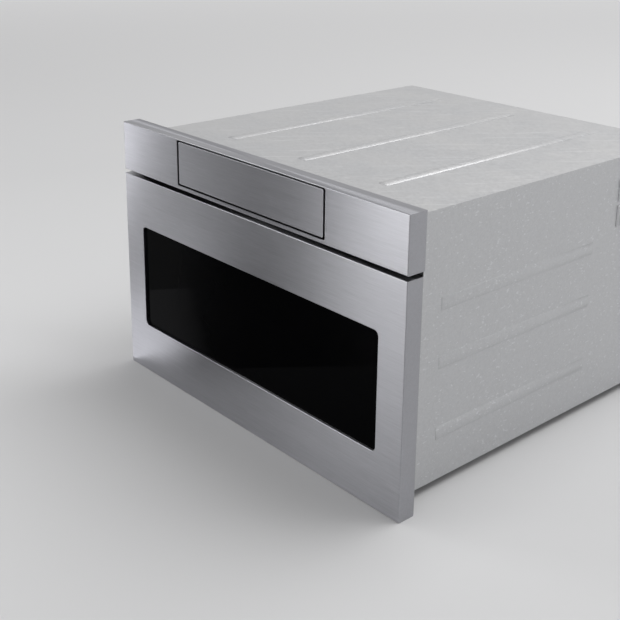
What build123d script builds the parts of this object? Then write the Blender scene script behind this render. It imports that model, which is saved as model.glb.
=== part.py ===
from build123d import *
import os
from math import acos, asin, atan2, ceil, cos, degrees, hypot, pi, radians, sin, tan

# A built-in microwave drawer: a stainless front with a tilting control flap, a drawer on telescopic
# slides that a motor drives through racks and a cross shaft, and the oven's electrical parts in a
# sheet steel case. X runs to the right seen from the front, Y into the cabinet and Z up. The origin
# is the middle of the four flange screws, on the face of the cabinet. All lengths are millimetres.

# Front
panel_width = 606.4
panel_height = 401.6
panel_depth = 30.0  # the front stands this far out of the cabinet's face
skin = 1.0
skin_bend = 1.2
strip_height = 75.0
strip_gap = 6.4  # the dark gap between the control strip and the drawer front

# Window in the drawer front
window_width = 516.0
window_height = 163.6
window_drop = 77.2  # from the drawer front's top edge
window_radius = 7.5
window_lip = 3.0
glass = 4.0
glass_overlap = 12.0

# Control flap in the strip
flap_width = 312.0
flap_side_gap = 4.0
flap_top_gap = 2.2
flap_bottom_gap = 2.7
strip_rim = 1.6  # steel left above the flap
strip_sill = 5.3  # steel left below the flap
flap_sheet = 0.8
flap_hem = 3.0
flap_wall = 2.0
flap_radius = 3.0
flap_rounding = 1.0
flap_tilt = 45.0
control_slope = 30.0  # the control glass falls this much towards the back
control_depth = 38.0
control_glass_sheet = 2.5
hinge_inset = 6.0  # hinge axis behind the flap's face
hinge_rise = 4.2  # hinge axis above the flap's lower edge
hinge_pin = 5.0
hinge_clearance = 0.05
hinge_boss = 2.0
glass_fit = 0.2
key_gap = 2.0
rib_sheet = 2.0
rib_gap = 4.0
rib_places = (-90.0, -30.0, 30.0, 90.0)
display_half = 40.0
key_board_start = 8.0

# Case
case_width = 556.0
case_depth = 588.0
case_sheet = 0.8
case_lip = 14.0
wrap_rise = 1.0  # the wrap starts this far above the base's flange
base_sheet = 1.2
base_flange = 12.0
panel_drop = 12.7  # the front hangs this far below the case
panel_lift = 14.9  # the front rises this far above the case
case_height = panel_height - panel_drop - panel_lift

# Front frame, the flange that is screwed to the cabinet
frame_sheet = 1.2
frame_margin = 3.2
flange_screw_span = 584.0
flange_screw_rise = 200.0
flange_hole = 5.0
frame_corner = 4.0
rack_gap = 2.5
arm_gap = 4.0
arm_over = 2.0  # the arms end this far above the slides

# Drawer pan and the cavity round it
pan_width = 440.0
pan_depth = 421.0
pan_sheet = 1.0
pan_corner = 14.0
pan_rim = 3.0
pan_rise = 64.1  # pan floor above the underside of the case
works_room = 129.9  # kept over the pan for the microwave feed, the fan and the board
pan_height = case_height - pan_rise - works_room
pan_inset = 6.0  # front of the pan ahead of the cabinet's face
cavity_side_gap = 5.0
cavity_floor_gap = 3.0
cavity_top_gap = 8.0
cavity_back_gap = 10.0
cavity_sheet = 0.8
door_clearance = 1.2
door_sheet = 1.0
screen_sheet = 0.8
inner_glass_sheet = 2.2
choke_start = 7.0
choke_width = 18.0
choke_cover_sheet = 1.8
choke_cover_fit = 0.3
choke_cover_rim = 8.0
choke_rim_wall = 1.2
skin_return = 4.0
window_rounding = 0.7
glass_corner = 1.0

# Telescopic slides
travel = 381.0
slide_length = 430.0
slide_height = 45.7
slide_depth = 12.7
slide_sheet = 1.2
slide_setback = 8.0
slide_rise = 98.1  # slide axis above the underside of the case
slide_web_gap = 0.8
ball = 2.6
ball_play = 0.2
ball_count = 10
cage_sheet = 0.8
cage_width = 5.0
cage_length = 200.0
cage_start = 140.0
race_gap = 1.3
lip_gap = 1.6
outer_lip = 2.0
angle_sheet = 1.6
angle_foot = 14.0
angle_length = 460.0
angle_start = 4.0
angle_over = 8.0
angle_hole = 4.4
angle_holes = 4
arm_sheet = 1.6
arm_foot = 14.7
arm_rise = 35.0  # underside of the arm's foot above the top of the base
arm_tab = 2.0
arm_slot = 40.0
arm_slot_height = 20.0
arm_slot_pitch = 60.0
arm_slots = 6

# Rack drive
gear_module = 1.5
rack_width = 10.0
rack_body = 6.0
rack_overlap = 1.0
teeth_ahead = 5
rack_length = 418.0
pinion_teeth = 14
drive_gear_teeth = 16
motor_gear_teeth = 12
shaft_diameter = 8.0
shaft_setback = 30.0
shaft_overhang = 3.0
gear_width = 8.0
drive_gear_place = 56.0
backlash = 0.16
pressure_angle = 20.0
tooth_reach = 0.8  # addendum in modules
tooth_root = 1.1  # dedendum in modules
running_clearance = 0.05
drive_motor_rise = 28.9  # motor axis above the top of the base
drive_motor_diameter = 28.0
drive_motor_length = 84.0
gearbox_length = 26.0
gearbox_step = 1.5
motor_boss = 10.0
motor_boss_length = 4.0
motor_shaft = 6.0
motor_shaft_reach = 5.0
motor_gear_gap = 4.0
saddle_start = 30.0
saddle_length = 34.0
saddle_sheet = 2.0
saddle_front = 7.0
saddle_back = 8.0
saddle_step = 4.0
bearing_width = 8.0
bearing_wall = 4.0
bearing_gap = 10.0  # outer bearings' middle inside the racks
middle_bearing_place = 112.0

# Flap drive
flap_module = 1.0
flap_gear_teeth = 68
spare_teeth = 2  # sector teeth beyond those that the tilt uses
flap_pinion_teeth = 12
flap_gear_sheet = 4.0
flap_gear_space = 7.0  # slot beside the flap body that the gear runs in
flap_mesh_angle = 38.0
flap_backlash = 0.12
flap_motor_diameter = 14.0
flap_motor_length = 36.0
flap_shaft = 3.0
flap_gearbox = 12.0
flap_gearbox_step = 2.0
pinion_end_gap = 0.5

# Control strip frame
moulding = 2.0
pocket_wall = 3.0
pocket_side_gap = 5.0
pocket_depth = 16.0
pocket_fit = 0.3
wing_gap = 2.0
pivot_play = 0.4

# Microwave feed
waveguide_sheet = 1.0
waveguide_width = 80.0
waveguide_height = 38.0
chamber_width = 160.0
chamber_start = 130.0
chamber_length = 160.0
feed_opening = 136.0
cover_width = 156.0
cover_sheet = 1.0
cover_corner = 10.0
stirrer_radius = 56.0
stirrer_shaft = 8.0
stirrer_hole = 10.0
stirrer_drop = 18.0
stirrer_hub = 28.0
stirrer_sheet = 1.2
stirrer_paddle = 26.0
paddle_corner = 6.0
boss_wall = 3.0
boss_drop = 3.0
boss_height = 8.0
shaft_end_gap = 0.3
stirrer_motor_diameter = 50.0
stirrer_motor_height = 15.0
motor_rounding = 1.5
ear_reach = 12.0
ear_width = 14.0
ear_sheet = 1.5
ear_hole = 4.0
terminal_width = 24.0
terminal_reach = 10.0
terminal_rise = 2.0
terminal_height = 10.0
magnetron_width = 84.0
magnetron_depth = 70.0
magnetron_height = 72.0
magnetron_place = 370.0
magnetron_wall = 2.0
filter_box_height = 20.0
anode_diameter = 40.0
antenna_diameter = 14.0
antenna_length = 24.0
antenna_gap = 4.0
fin_count = 7
fin_sheet = 0.8
fin_inset = 6.0

# Cooling fan
fan_radius = 46.0
fan_gap = 3.0
fan_ring = 2.0
fan_lift = 4.0  # fan axis above the middle of the space over the cavity
fan_place = 470.0
fan_width = 20.0
fan_blades = 7
fan_shaft = 5.0
fan_hub = 28.0
fan_hub_rounding = 3.0
fan_end = 8.0  # the housing's ring runs this far past the blades
blade_root = 12.0
blade_width = 22.0
blade_sheet = 1.4
blade_lean = 0.55
blade_gap = 2.0
spider_hub = 40.0
spider_arm = 8.0
spider_sheet = 4.0
spider_hole_gap = 1.5
fan_motor_width = 56.0
fan_motor_depth = 30.0
fan_motor_case = 36.0
fan_stack = 14.0
fan_stack_gap = 6.0
fan_coil = 26.0
fan_coil_length = 40.0
leg_inside = 26.0
leg_width = 8.0

# Lamp, exhaust and vents
lamp_place = 88.0
lamp_diameter = 24.0
lamp_rise = 18.0
lamp_plate = 48.0
lamp_plate_height = 34.0
lamp_plate_sheet = 1.5
lamp_plate_back = 16.0
lamp_foot = 8.0
lamp_socket = 18.0
lamp_socket_length = 10.0
lamp_reach = 4.0
exhaust_width = 100.0
exhaust_place = 170.0
exhaust_start = 96.0
exhaust_height = 36.0
vent_slot = 30.0
vent_height = 4.0
base_vent_place = 323.0
base_vent_pitch = 60.0
base_vent_rise = 16.0
base_vent_columns = 5
base_vent_rows = 6
side_vent_place = 470.0
side_vent_drop = 70.0
side_vent_pitch = 8.0
side_vent_rise = 39.0
side_vent_columns = 9
back_vent_pitch = 37.5
back_vent_rise = 8.8
fan_vent_rows = 9
exhaust_vent_rows = 3
frame_vent_pitch = 39.0
frame_vent_columns = 12
perforation = 4.0  # holes small enough to hold the microwaves back
perforation_pitch = 7.0
duct_sheet = 1.0
duct_margin = 10.0
duct_inlet_start = 6.0
duct_inlet = 48.0

# High voltage parts
core_width = 96.0
core_depth = 70.0
core_height = 82.0
core_foot = 12.0
core_foot_sheet = 3.0
core_foot_hole = 5.2
core_bridge = 16.0
winding_bulge = 14.0
winding_corner = 9.0
winding_gap = 3.0
coil_play = 1.0
primary_height = 21.0
transformer_x = 150.0
capacitor_x = -150.0
back_space = 82.0  # the heavy parts' middle ahead of the case's back
capacitor_width = 54.0
capacitor_depth = 33.0
capacitor_height = 96.0
insulator = 10.0
insulator_height = 7.0
insulator_span = 24.0
tab_width = 6.0
tab_sheet = 0.8
tab_height = 10.0

# Power board on the cavity's ceiling
board_sheet = 1.6
board_standoff = 8.0
board_x = -182.0
board_y = 200.0
board_width = 150.0
board_depth = 190.0
board_post = 8.0
board_post_inset = 13.0
part_tall = 26.0
part_middle = 18.0
part_low = 4.0

# Interlock
latch_span = 300.0
latch_space = 35.2  # the latches' middle above the cavity's roof
latch_sheet = 3.0
latch_length = 30.0
latch_height = 12.0
latch_gap = 2.0
interlock_depth = 44.0
interlock_width = 28.0
interlock_height = 32.0
latch_room = 6.0
latch_neck = 8.0

# Cord gland and screws in the back
gland_x = -210.0
gland_z = -140.0
gland_diameter = 22.0
gland_bore = 9.0
gland_length = 11.0
gland_flange = 3.0
gland_rounding = 1.5
screw_head = 8.0
screw_head_height = 2.5
screw_shank = 3.6
screw_hole = 4.2
screw_length = 8.0
screw_row_step = 150.0

# Places worked out from the sizes above
face = -panel_depth
frame_face = -frame_sheet
door_back = frame_face - door_clearance
half_panel = panel_width / 2
panel_top = panel_height / 2
panel_bottom = -panel_top
strip_bottom = panel_top - strip_height
drawer_top = strip_bottom - strip_gap
window_top = drawer_top - window_drop
window_middle = window_top - window_height / 2

case_bottom = panel_bottom + panel_drop
case_top = case_bottom + case_height
case_middle = (case_bottom + case_top) / 2
half_case = case_width / 2
base_top = case_bottom + base_sheet
case_inside = half_case - case_sheet
ceiling_inside = case_top - case_sheet
back_inside = case_depth - case_sheet
heavy_y = case_depth - back_space
screw_span = 2 * (case_inside - case_lip / 2)

pan_floor = case_bottom + pan_rise
pan_top = pan_floor + pan_height
pan_front = -pan_inset
pan_back = pan_front + pan_depth
half_pan = pan_width / 2 + pan_sheet
cavity_floor = pan_floor - pan_sheet - cavity_floor_gap
cavity_ceiling = pan_top + cavity_top_gap
half_cavity = half_pan + cavity_side_gap
cavity_back = pan_back + pan_sheet + cavity_back_gap
cavity_roof = cavity_ceiling + cavity_sheet
latch_rise = cavity_roof + latch_space

slide_axis = case_bottom + slide_rise
angle_face = case_inside - base_sheet - angle_sheet
slide_inside = angle_face - slide_depth
middle_height = slide_height - 2 * slide_sheet - 2 * (ball + 2 * ball_play)
inner_height = middle_height - 2 * slide_sheet - 2 * (ball + 2 * ball_play)
middle_web = angle_face - slide_sheet - slide_web_gap
arm_inside = slide_inside - arm_sheet
arm_top = slide_axis + slide_height / 2 + arm_over
arm_bottom = base_top + arm_rise - arm_sheet
rack_inside = slide_inside - arm_foot + rack_overlap
rack_middle = rack_inside + rack_width / 2
rack_top = arm_bottom
rack_root = rack_top - rack_body
pitch_line = rack_root - tooth_root * gear_module
pinion_radius = gear_module * pinion_teeth / 2
shaft_axis = pitch_line - pinion_radius
shaft_radius = shaft_diameter / 2
mesh_distance = gear_module * (drive_gear_teeth + motor_gear_teeth) / 2
motor_axis_z = base_top + drive_motor_rise
mesh_rise = motor_axis_z - shaft_axis
mesh_angle = degrees(asin(mesh_rise / mesh_distance))
motor_axis_y = shaft_setback + mesh_distance * cos(radians(mesh_angle))

opening_top = panel_top - strip_rim
opening_bottom = strip_bottom + strip_sill
opening_half = flap_width / 2 + flap_side_gap
flap_top = opening_top - flap_top_gap
flap_bottom = opening_bottom + flap_bottom_gap
hinge_y = face + hinge_inset
hinge_z = flap_bottom + hinge_rise
flap_left = -flap_width / 2 + flap_sheet + flap_gear_space
flap_right = flap_width / 2 - flap_sheet
pocket_half = opening_half + pocket_side_gap - flap_side_gap
pocket_floor = flap_bottom - flap_side_gap
pocket_roof = ceiling_inside - pocket_wall / 2
tray_front = face + flap_sheet
tray_top = flap_top - flap_sheet
flap_mesh_distance = flap_module * (flap_gear_teeth + flap_pinion_teeth) / 2
flap_pinion_y = hinge_y + flap_mesh_distance * cos(radians(flap_mesh_angle))
flap_pinion_z = hinge_z + flap_mesh_distance * sin(radians(flap_mesh_angle))

fan_axis = (cavity_roof + ceiling_inside) / 2 + fan_lift
waveguide_top = cavity_roof + waveguide_height
chamber_middle = chamber_start + chamber_length / 2
stirrer_plane = waveguide_top - stirrer_drop
magnetron_back = magnetron_place + magnetron_depth / 2
magnetron_middle = waveguide_top + magnetron_height / 2

os.makedirs("parts", exist_ok=True)


def save(name, piece):
    """Label a finished piece and write its STEP file."""
    piece.part.label = name
    export_step(piece.part, f"parts/{name}.step")


def slab(xs, ys, zs, mode=Mode.ADD):
    """Add a box between two corners to the part being built."""
    middle = [(low + high) / 2 for low, high in (xs, ys, zs)]
    with Locations(tuple(middle)):
        Box(xs[1] - xs[0], ys[1] - ys[0], zs[1] - zs[0], mode=mode)


def facing(y):
    """Plane parallel to the front at depth y, drawn in X and Z, with its normal towards the room."""
    return Plane(origin=(0, y, 0), x_dir=(1, 0, 0), z_dir=(0, -1, 0))


def rod(xs, y, z, radius, mode=Mode.ADD):
    """Add a round bar along X to the part being built."""
    with BuildSketch(Plane.YZ.offset(xs[0])) as end:
        with Locations((y, z)):
            Circle(radius)
    extrude(end.sketch, amount=xs[1] - xs[0], mode=mode)


def window_frame(y, depth, grow, radius, mode=Mode.ADD):
    """Extrude the window's rounded outline, grown on all sides, from y into the door."""
    with BuildSketch(facing(y)) as outline:
        with Locations((0, window_middle)):
            RectangleRounded(window_width + 2 * grow, window_height + 2 * grow, radius + grow)
    extrude(outline.sketch, amount=-depth, mode=mode)


def around_pan(grow):
    """Half width, bottom and top of the pan's outline, grown by a distance."""
    return half_pan + grow, pan_floor - pan_sheet - grow, pan_top + grow


def pan_ring(y, depth, grow, mode=Mode.ADD):
    """Extrude the pan's outline, grown on all sides, from y towards the back."""
    half, low, high = around_pan(grow)
    slab((-half, half), (y, y + depth), (low, high), mode)


def tooth_flank(radius, base, width_angle, inward):
    """Angle of an involute flank at a radius, from the middle of its tooth."""
    lean = acos(min(1.0, base / radius))
    return width_angle + inward - (tan(lean) - lean)


def gear_outline(centre, teeth, module, first_angle, play, count=None):
    """Corner points of a spur gear, or of a sector of it, with a tooth's middle at first_angle."""
    pitch = module * teeth / 2
    base = pitch * cos(radians(pressure_angle))
    tip = pitch + tooth_reach * module
    root = pitch - tooth_root * module
    lean = radians(pressure_angle)
    half_tooth = (pi * module / 2 - play) / 2 / pitch
    inward = tan(lean) - lean
    radii = [root, max(root, base), (max(root, base) + pitch) / 2, pitch, (pitch + tip) / 2, tip]
    points = []
    for tooth in range(count or teeth):
        middle = radians(first_angle) + tooth * 2 * pi / teeth
        half_angles = [tooth_flank(max(radius, base), base, half_tooth, inward) for radius in radii]
        rising = [(radius, middle - angle) for radius, angle in zip(radii, half_angles)]
        falling = [(radius, middle + angle) for radius, angle in zip(reversed(radii), reversed(half_angles))]
        points += [(centre[0] + r * cos(a), centre[1] + r * sin(a)) for r, a in rising + falling]
    cleaned = [points[0]]
    for point in points[1:]:
        if hypot(point[0] - cleaned[-1][0], point[1] - cleaned[-1][1]) > 0.01:
            cleaned.append(point)
    return cleaned


def spur_gear(xs, centre, teeth, module, first_angle, play, bore):
    """Add a spur gear with its axis along X to the part being built."""
    with BuildSketch(Plane.YZ.offset(xs[0])) as end:
        with BuildLine():
            Polyline(*gear_outline(centre, teeth, module, first_angle, play), close=True)
        make_face()
        if bore:
            with Locations(centre):
                Circle(bore, mode=Mode.SUBTRACT)
    extrude(end.sketch, amount=xs[1] - xs[0])


def prism(xs, corners, mode=Mode.ADD):
    """Add a straight prism along X with its corners given in Y and Z."""
    with BuildSketch(Plane.YZ.offset(xs[0])) as end:
        with BuildLine():
            Polyline(*corners, close=True)
        make_face()
    extrude(end.sketch, amount=xs[1] - xs[0], mode=mode)


# Case -------------------------------------------------------------------------------------------

with BuildPart() as base_plate:
    slab((-case_inside, case_inside), (0, back_inside), (case_bottom, base_top))
    for side in (-1, 1):
        edge = sorted((side * case_inside, side * (case_inside - base_sheet)))
        slab(edge, (0, back_inside), (base_top, base_top + base_flange))
    with BuildSketch(Plane.XY.offset(case_bottom)):
        with Locations((0, base_vent_place)):
            with GridLocations(base_vent_pitch, base_vent_rise, base_vent_columns, base_vent_rows):
                SlotOverall(vent_slot, vent_height)
    extrude(amount=base_sheet, mode=Mode.SUBTRACT)
save("base_plate", base_plate)

with BuildPart() as case_wrap:
    slab((-half_case, half_case), (0, back_inside), (case_bottom, case_top))
    slab(
        (-case_inside, case_inside),
        (0, back_inside - case_sheet),
        (case_bottom, ceiling_inside),
        Mode.SUBTRACT,
    )
    inner_lip = case_inside - case_lip
    slab(
        (-inner_lip, inner_lip),
        (0, back_inside),
        (case_bottom, ceiling_inside - case_lip),
        Mode.SUBTRACT,
    )
    slab(
        (-case_inside, case_inside),
        (0, back_inside),
        (case_bottom, base_top + base_flange + wrap_rise),
        Mode.SUBTRACT,
    )
    with BuildSketch(Plane.YZ.offset(-half_case)):
        with Locations((side_vent_place, case_top - side_vent_drop)):
            with GridLocations(side_vent_pitch, side_vent_rise, side_vent_columns, 2):
                SlotOverall(vent_slot, vent_height, rotation=90)
    extrude(amount=case_width, mode=Mode.SUBTRACT)
    with BuildSketch(facing(case_depth)):
        with Locations((0, case_middle)):
            with GridLocations(screw_span, screw_row_step, 2, 3):
                Circle(screw_hole / 2)
    extrude(amount=3 * case_sheet, mode=Mode.SUBTRACT)
save("case_wrap", case_wrap)

with BuildPart() as back_plate:
    slab((-case_inside, case_inside), (back_inside, case_depth), (base_top, ceiling_inside))
    with BuildSketch(facing(case_depth)):
        with Locations((0, case_middle)):
            with GridLocations(screw_span, screw_row_step, 2, 3):
                Circle(screw_hole / 2)
        with Locations((gland_x, gland_z)):
            Circle(gland_diameter / 2)
        with Locations((0, fan_axis)):
            with GridLocations(back_vent_pitch, back_vent_rise, 3, fan_vent_rows):
                SlotOverall(vent_slot, vent_height)
        with Locations((exhaust_place, cavity_roof + exhaust_height / 2)):
            with GridLocations(back_vent_pitch, back_vent_rise, 2, exhaust_vent_rows):
                SlotOverall(vent_slot, vent_height)
    extrude(amount=case_sheet, both=True, mode=Mode.SUBTRACT)
save("back_plate", back_plate)

with BuildPart() as front_frame:
    with BuildSketch(facing(0)) as frame_outline:
        Rectangle(2 * (half_panel - frame_margin), panel_height - 2 * frame_margin)
        fillet(frame_outline.vertices(), frame_corner)
        with Locations((0, (cavity_floor + cavity_ceiling) / 2)):
            Rectangle(2 * half_cavity, cavity_ceiling - cavity_floor, mode=Mode.SUBTRACT)
        with Locations((0, (pocket_floor - pocket_wall + ceiling_inside) / 2)):
            Rectangle(
                2 * (pocket_half + pocket_wall + pocket_fit),
                ceiling_inside - pocket_floor + pocket_wall + 2 * pocket_fit,
                mode=Mode.SUBTRACT,
            )
        for side in (-1, 1):
            slot_in = rack_inside - rack_gap
            slot_out = angle_face - slide_web_gap
            slot_low = pitch_line - 2 * gear_module
            slot_high = arm_top + arm_gap
            with Locations((side * (slot_in + slot_out) / 2, (slot_low + slot_high) / 2)):
                Rectangle(slot_out - slot_in, slot_high - slot_low, mode=Mode.SUBTRACT)
            with Locations((side * latch_span / 2, latch_rise)):
                Rectangle(latch_sheet + 2 * latch_gap, latch_height + 2 * latch_gap, mode=Mode.SUBTRACT)
        with GridLocations(flange_screw_span, flange_screw_rise, 2, 2):
            Circle(flange_hole / 2, mode=Mode.SUBTRACT)
        with Locations((0, drawer_top + strip_gap / 2)):
            with GridLocations(frame_vent_pitch, 1, frame_vent_columns, 1):
                SlotOverall(vent_slot, vent_height, mode=Mode.SUBTRACT)
    extrude(amount=frame_sheet)
save("front_frame", front_frame)

with BuildPart() as oven_cavity:
    slab(
        (-half_cavity - cavity_sheet, half_cavity + cavity_sheet),
        (0, cavity_back + cavity_sheet),
        (cavity_floor - cavity_sheet, cavity_roof),
    )
    slab((-half_cavity, half_cavity), (0, cavity_back), (cavity_floor, cavity_ceiling), Mode.SUBTRACT)
    with BuildSketch(Plane.XY.offset(cavity_roof)):
        with Locations((0, chamber_middle)):
            Circle(feed_opening / 2)
        with Locations((0, lamp_place)):
            with GridLocations(perforation_pitch, perforation_pitch, 6, 3):
                Circle(perforation / 2)
        with Locations((exhaust_place, exhaust_start + duct_inlet_start + duct_inlet / 2)):
            with GridLocations(perforation_pitch, perforation_pitch, 10, 5):
                Circle(perforation / 2)
    extrude(amount=-cavity_sheet, mode=Mode.SUBTRACT)
save("oven_cavity", oven_cavity)

# Microwave feed, cooling and electrical parts -----------------------------------------------------

with BuildPart() as waveguide:
    half_chamber = chamber_width / 2
    half_guide = waveguide_width / 2
    chamber_end = chamber_start + chamber_length
    slab((-half_chamber, half_chamber), (chamber_start, chamber_end), (cavity_roof, waveguide_top))
    slab((-half_guide, half_guide), (chamber_end, magnetron_back), (cavity_roof, waveguide_top))
    inside = waveguide_sheet
    slab(
        (-half_chamber + inside, half_chamber - inside),
        (chamber_start + inside, chamber_end - inside),
        (cavity_roof, waveguide_top - inside),
        Mode.SUBTRACT,
    )
    slab(
        (-half_guide + inside, half_guide - inside),
        (chamber_end - inside, magnetron_back - inside),
        (cavity_roof + inside, waveguide_top - inside),
        Mode.SUBTRACT,
    )
    with BuildSketch(Plane.XY.offset(waveguide_top)):
        with Locations((0, chamber_middle)):
            Circle(stirrer_hole / 2)
        with Locations((0, magnetron_place)):
            Circle(antenna_diameter / 2 + antenna_gap)
    extrude(amount=-inside, mode=Mode.SUBTRACT)
save("waveguide", waveguide)

with BuildPart() as waveguide_cover:
    with BuildSketch(Plane.XY.offset(cavity_ceiling - cover_sheet)):
        with Locations((0, chamber_middle)):
            RectangleRounded(cover_width, cover_width, cover_corner)
    extrude(amount=cover_sheet)
save("waveguide_cover", waveguide_cover)

with BuildPart() as stirrer:
    with BuildSketch(Plane.XY.offset(stirrer_plane)):
        with Locations((0, chamber_middle)):
            Circle(stirrer_hub / 2)
            for turn in range(4):
                with Locations(Rotation(0, 0, 90 * turn)):
                    with Locations((stirrer_radius / 2, 0)):
                        RectangleRounded(stirrer_radius, stirrer_paddle, paddle_corner)
    extrude(amount=stirrer_sheet)
    with BuildSketch(Plane.XY.offset(stirrer_plane - boss_drop)):
        with Locations((0, chamber_middle)):
            Circle(stirrer_shaft / 2 + boss_wall)
    extrude(amount=boss_height)
    with BuildSketch(Plane.XY.offset(stirrer_plane)):
        with Locations((0, chamber_middle)):
            Circle(stirrer_shaft / 2)
    extrude(amount=waveguide_top - shaft_end_gap - stirrer_plane)
save("stirrer", stirrer)

with BuildPart() as stirrer_motor:
    with BuildSketch(Plane.XY.offset(waveguide_top)):
        with Locations((0, chamber_middle)):
            Circle(stirrer_motor_diameter / 2)
    extrude(amount=stirrer_motor_height)
    with BuildSketch(Plane.XY.offset(waveguide_top)):
        with Locations((0, chamber_middle)):
            SlotOverall(stirrer_motor_diameter + 2 * ear_reach, ear_width)
    extrude(amount=ear_sheet)
    fillet(stirrer_motor.faces().sort_by(Axis.Z)[-1].edges(), motor_rounding)
    with BuildSketch(Plane.XY.offset(waveguide_top)):
        with Locations((0, chamber_middle)):
            with GridLocations(stirrer_motor_diameter + 2 * ear_reach - ear_width + ear_hole, 1, 2, 1):
                Circle(ear_hole / 2)
    extrude(amount=ear_sheet, mode=Mode.SUBTRACT)
    motor_rim = chamber_middle + stirrer_motor_diameter / 2
    slab(
        (-terminal_width / 2, terminal_width / 2),
        (motor_rim - terminal_rise, motor_rim + terminal_reach),
        (waveguide_top + terminal_rise, waveguide_top + terminal_rise + terminal_height),
    )
save("stirrer_motor", stirrer_motor)

with BuildPart() as magnetron:
    half_mag = magnetron_width / 2
    mag_low = waveguide_top
    mag_high = waveguide_top + magnetron_height
    mag_front = magnetron_place - magnetron_depth / 2
    slab((-half_mag, half_mag), (mag_front, magnetron_back), (mag_low, mag_high))
    inner_half = half_mag - magnetron_wall
    fins_low = mag_low + magnetron_wall
    fins_high = mag_high - magnetron_wall - filter_box_height
    slab((-inner_half, inner_half), (mag_front, magnetron_back), (fins_low, fins_high), Mode.SUBTRACT)
    with BuildSketch(Plane.XY.offset(mag_low)):
        with Locations((0, magnetron_place)):
            Circle(anode_diameter / 2)
    extrude(amount=magnetron_height - filter_box_height)
    fin_pitch = (fins_high - fins_low) / (fin_count + 1)
    for fin in range(fin_count):
        fin_z = fins_low + fin_pitch * (fin + 1)
        fin_ys = (mag_front + fin_inset, magnetron_back - fin_inset)
        slab((-inner_half, inner_half), fin_ys, (fin_z - fin_sheet / 2, fin_z + fin_sheet / 2))
    with BuildSketch(Plane.XY.offset(mag_low)):
        with Locations((0, magnetron_place)):
            Circle(antenna_diameter / 2)
    extrude(amount=-antenna_length)
save("magnetron", magnetron)

with BuildPart() as exhaust_duct:
    duct_left = exhaust_place - exhaust_width / 2
    duct_right = exhaust_place + exhaust_width / 2
    duct_top = cavity_roof + exhaust_height
    slab((duct_left, duct_right), (exhaust_start, back_inside), (cavity_roof, duct_top))
    slab(
        (duct_left + duct_sheet, duct_right - duct_sheet),
        (exhaust_start + duct_sheet, back_inside),
        (cavity_roof + duct_sheet, duct_top - duct_sheet),
        Mode.SUBTRACT,
    )
    slab(
        (duct_left + duct_margin, duct_right - duct_margin),
        (exhaust_start + duct_inlet_start, exhaust_start + duct_inlet_start + duct_inlet),
        (cavity_roof, cavity_roof + duct_sheet),
        Mode.SUBTRACT,
    )
save("exhaust_duct", exhaust_duct)

with BuildPart() as oven_lamp:
    plate_xs = (-lamp_plate / 2, lamp_plate / 2)
    plate_front = lamp_place - lamp_plate_back
    plate_rear = plate_front + lamp_plate_sheet
    slab(plate_xs, (plate_front, plate_rear), (cavity_roof, cavity_roof + lamp_plate_height))
    slab(plate_xs, (plate_front, plate_front + lamp_foot), (cavity_roof, cavity_roof + lamp_plate_sheet))
    with BuildSketch(facing(plate_rear)):
        with Locations((0, cavity_roof + lamp_rise)):
            Circle(lamp_socket / 2)
    extrude(amount=-lamp_socket_length)
    with Locations((0, lamp_place + lamp_reach, cavity_roof + lamp_rise)):
        Sphere(lamp_diameter / 2)
save("oven_lamp", oven_lamp)

with BuildPart() as fan_housing:
    ring_outside = fan_radius + fan_gap + fan_ring
    with BuildSketch(facing(magnetron_back)):
        with Locations((0, magnetron_middle)):
            Rectangle(magnetron_width, magnetron_height)
    with BuildSketch(facing(fan_place)):
        with Locations((0, fan_axis)):
            Rectangle(2 * ring_outside, 2 * ring_outside)
    loft()
    with BuildSketch(facing(magnetron_back)):
        with Locations((0, magnetron_middle)):
            Rectangle(magnetron_width - 2 * fan_ring, magnetron_height - 2 * fan_ring)
    with BuildSketch(facing(fan_place)):
        with Locations((0, fan_axis)):
            Rectangle(2 * ring_outside - 2 * fan_ring, 2 * ring_outside - 2 * fan_ring)
    loft(mode=Mode.SUBTRACT)
    with BuildSketch(facing(fan_place)):
        with Locations((0, fan_axis)):
            Rectangle(2 * ring_outside, 2 * ring_outside)
            Circle(ring_outside - fan_ring, mode=Mode.SUBTRACT)
    extrude(amount=-fan_ring)
    with BuildSketch(facing(fan_place)):
        with Locations((0, fan_axis)):
            Circle(ring_outside)
            Circle(ring_outside - fan_ring, mode=Mode.SUBTRACT)
    extrude(amount=-(fan_width + fan_end))
    with BuildSketch(facing(fan_place + fan_width + fan_end - spider_sheet)):
        with Locations((0, fan_axis)):
            Circle(spider_hub / 2)
            for turn in range(3):
                with Locations(Rotation(0, 0, 90 + 120 * turn)):
                    with Locations((ring_outside / 2, 0)):
                        Rectangle(ring_outside - fan_ring / 2, spider_arm)
            Circle(fan_shaft / 2 + spider_hole_gap, mode=Mode.SUBTRACT)
    extrude(amount=-spider_sheet)
    duct_fall = (waveguide_top - (fan_axis - ring_outside)) / (fan_place - magnetron_back)
    leg_top = waveguide_top - duct_fall * (cavity_back - magnetron_back) + fan_ring
    for side in (-1, 1):
        leg = sorted((side * leg_inside, side * (leg_inside + leg_width)))
        slab(leg, (cavity_back - leg_width, cavity_back), (cavity_roof, leg_top))
save("fan_housing", fan_housing)

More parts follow.
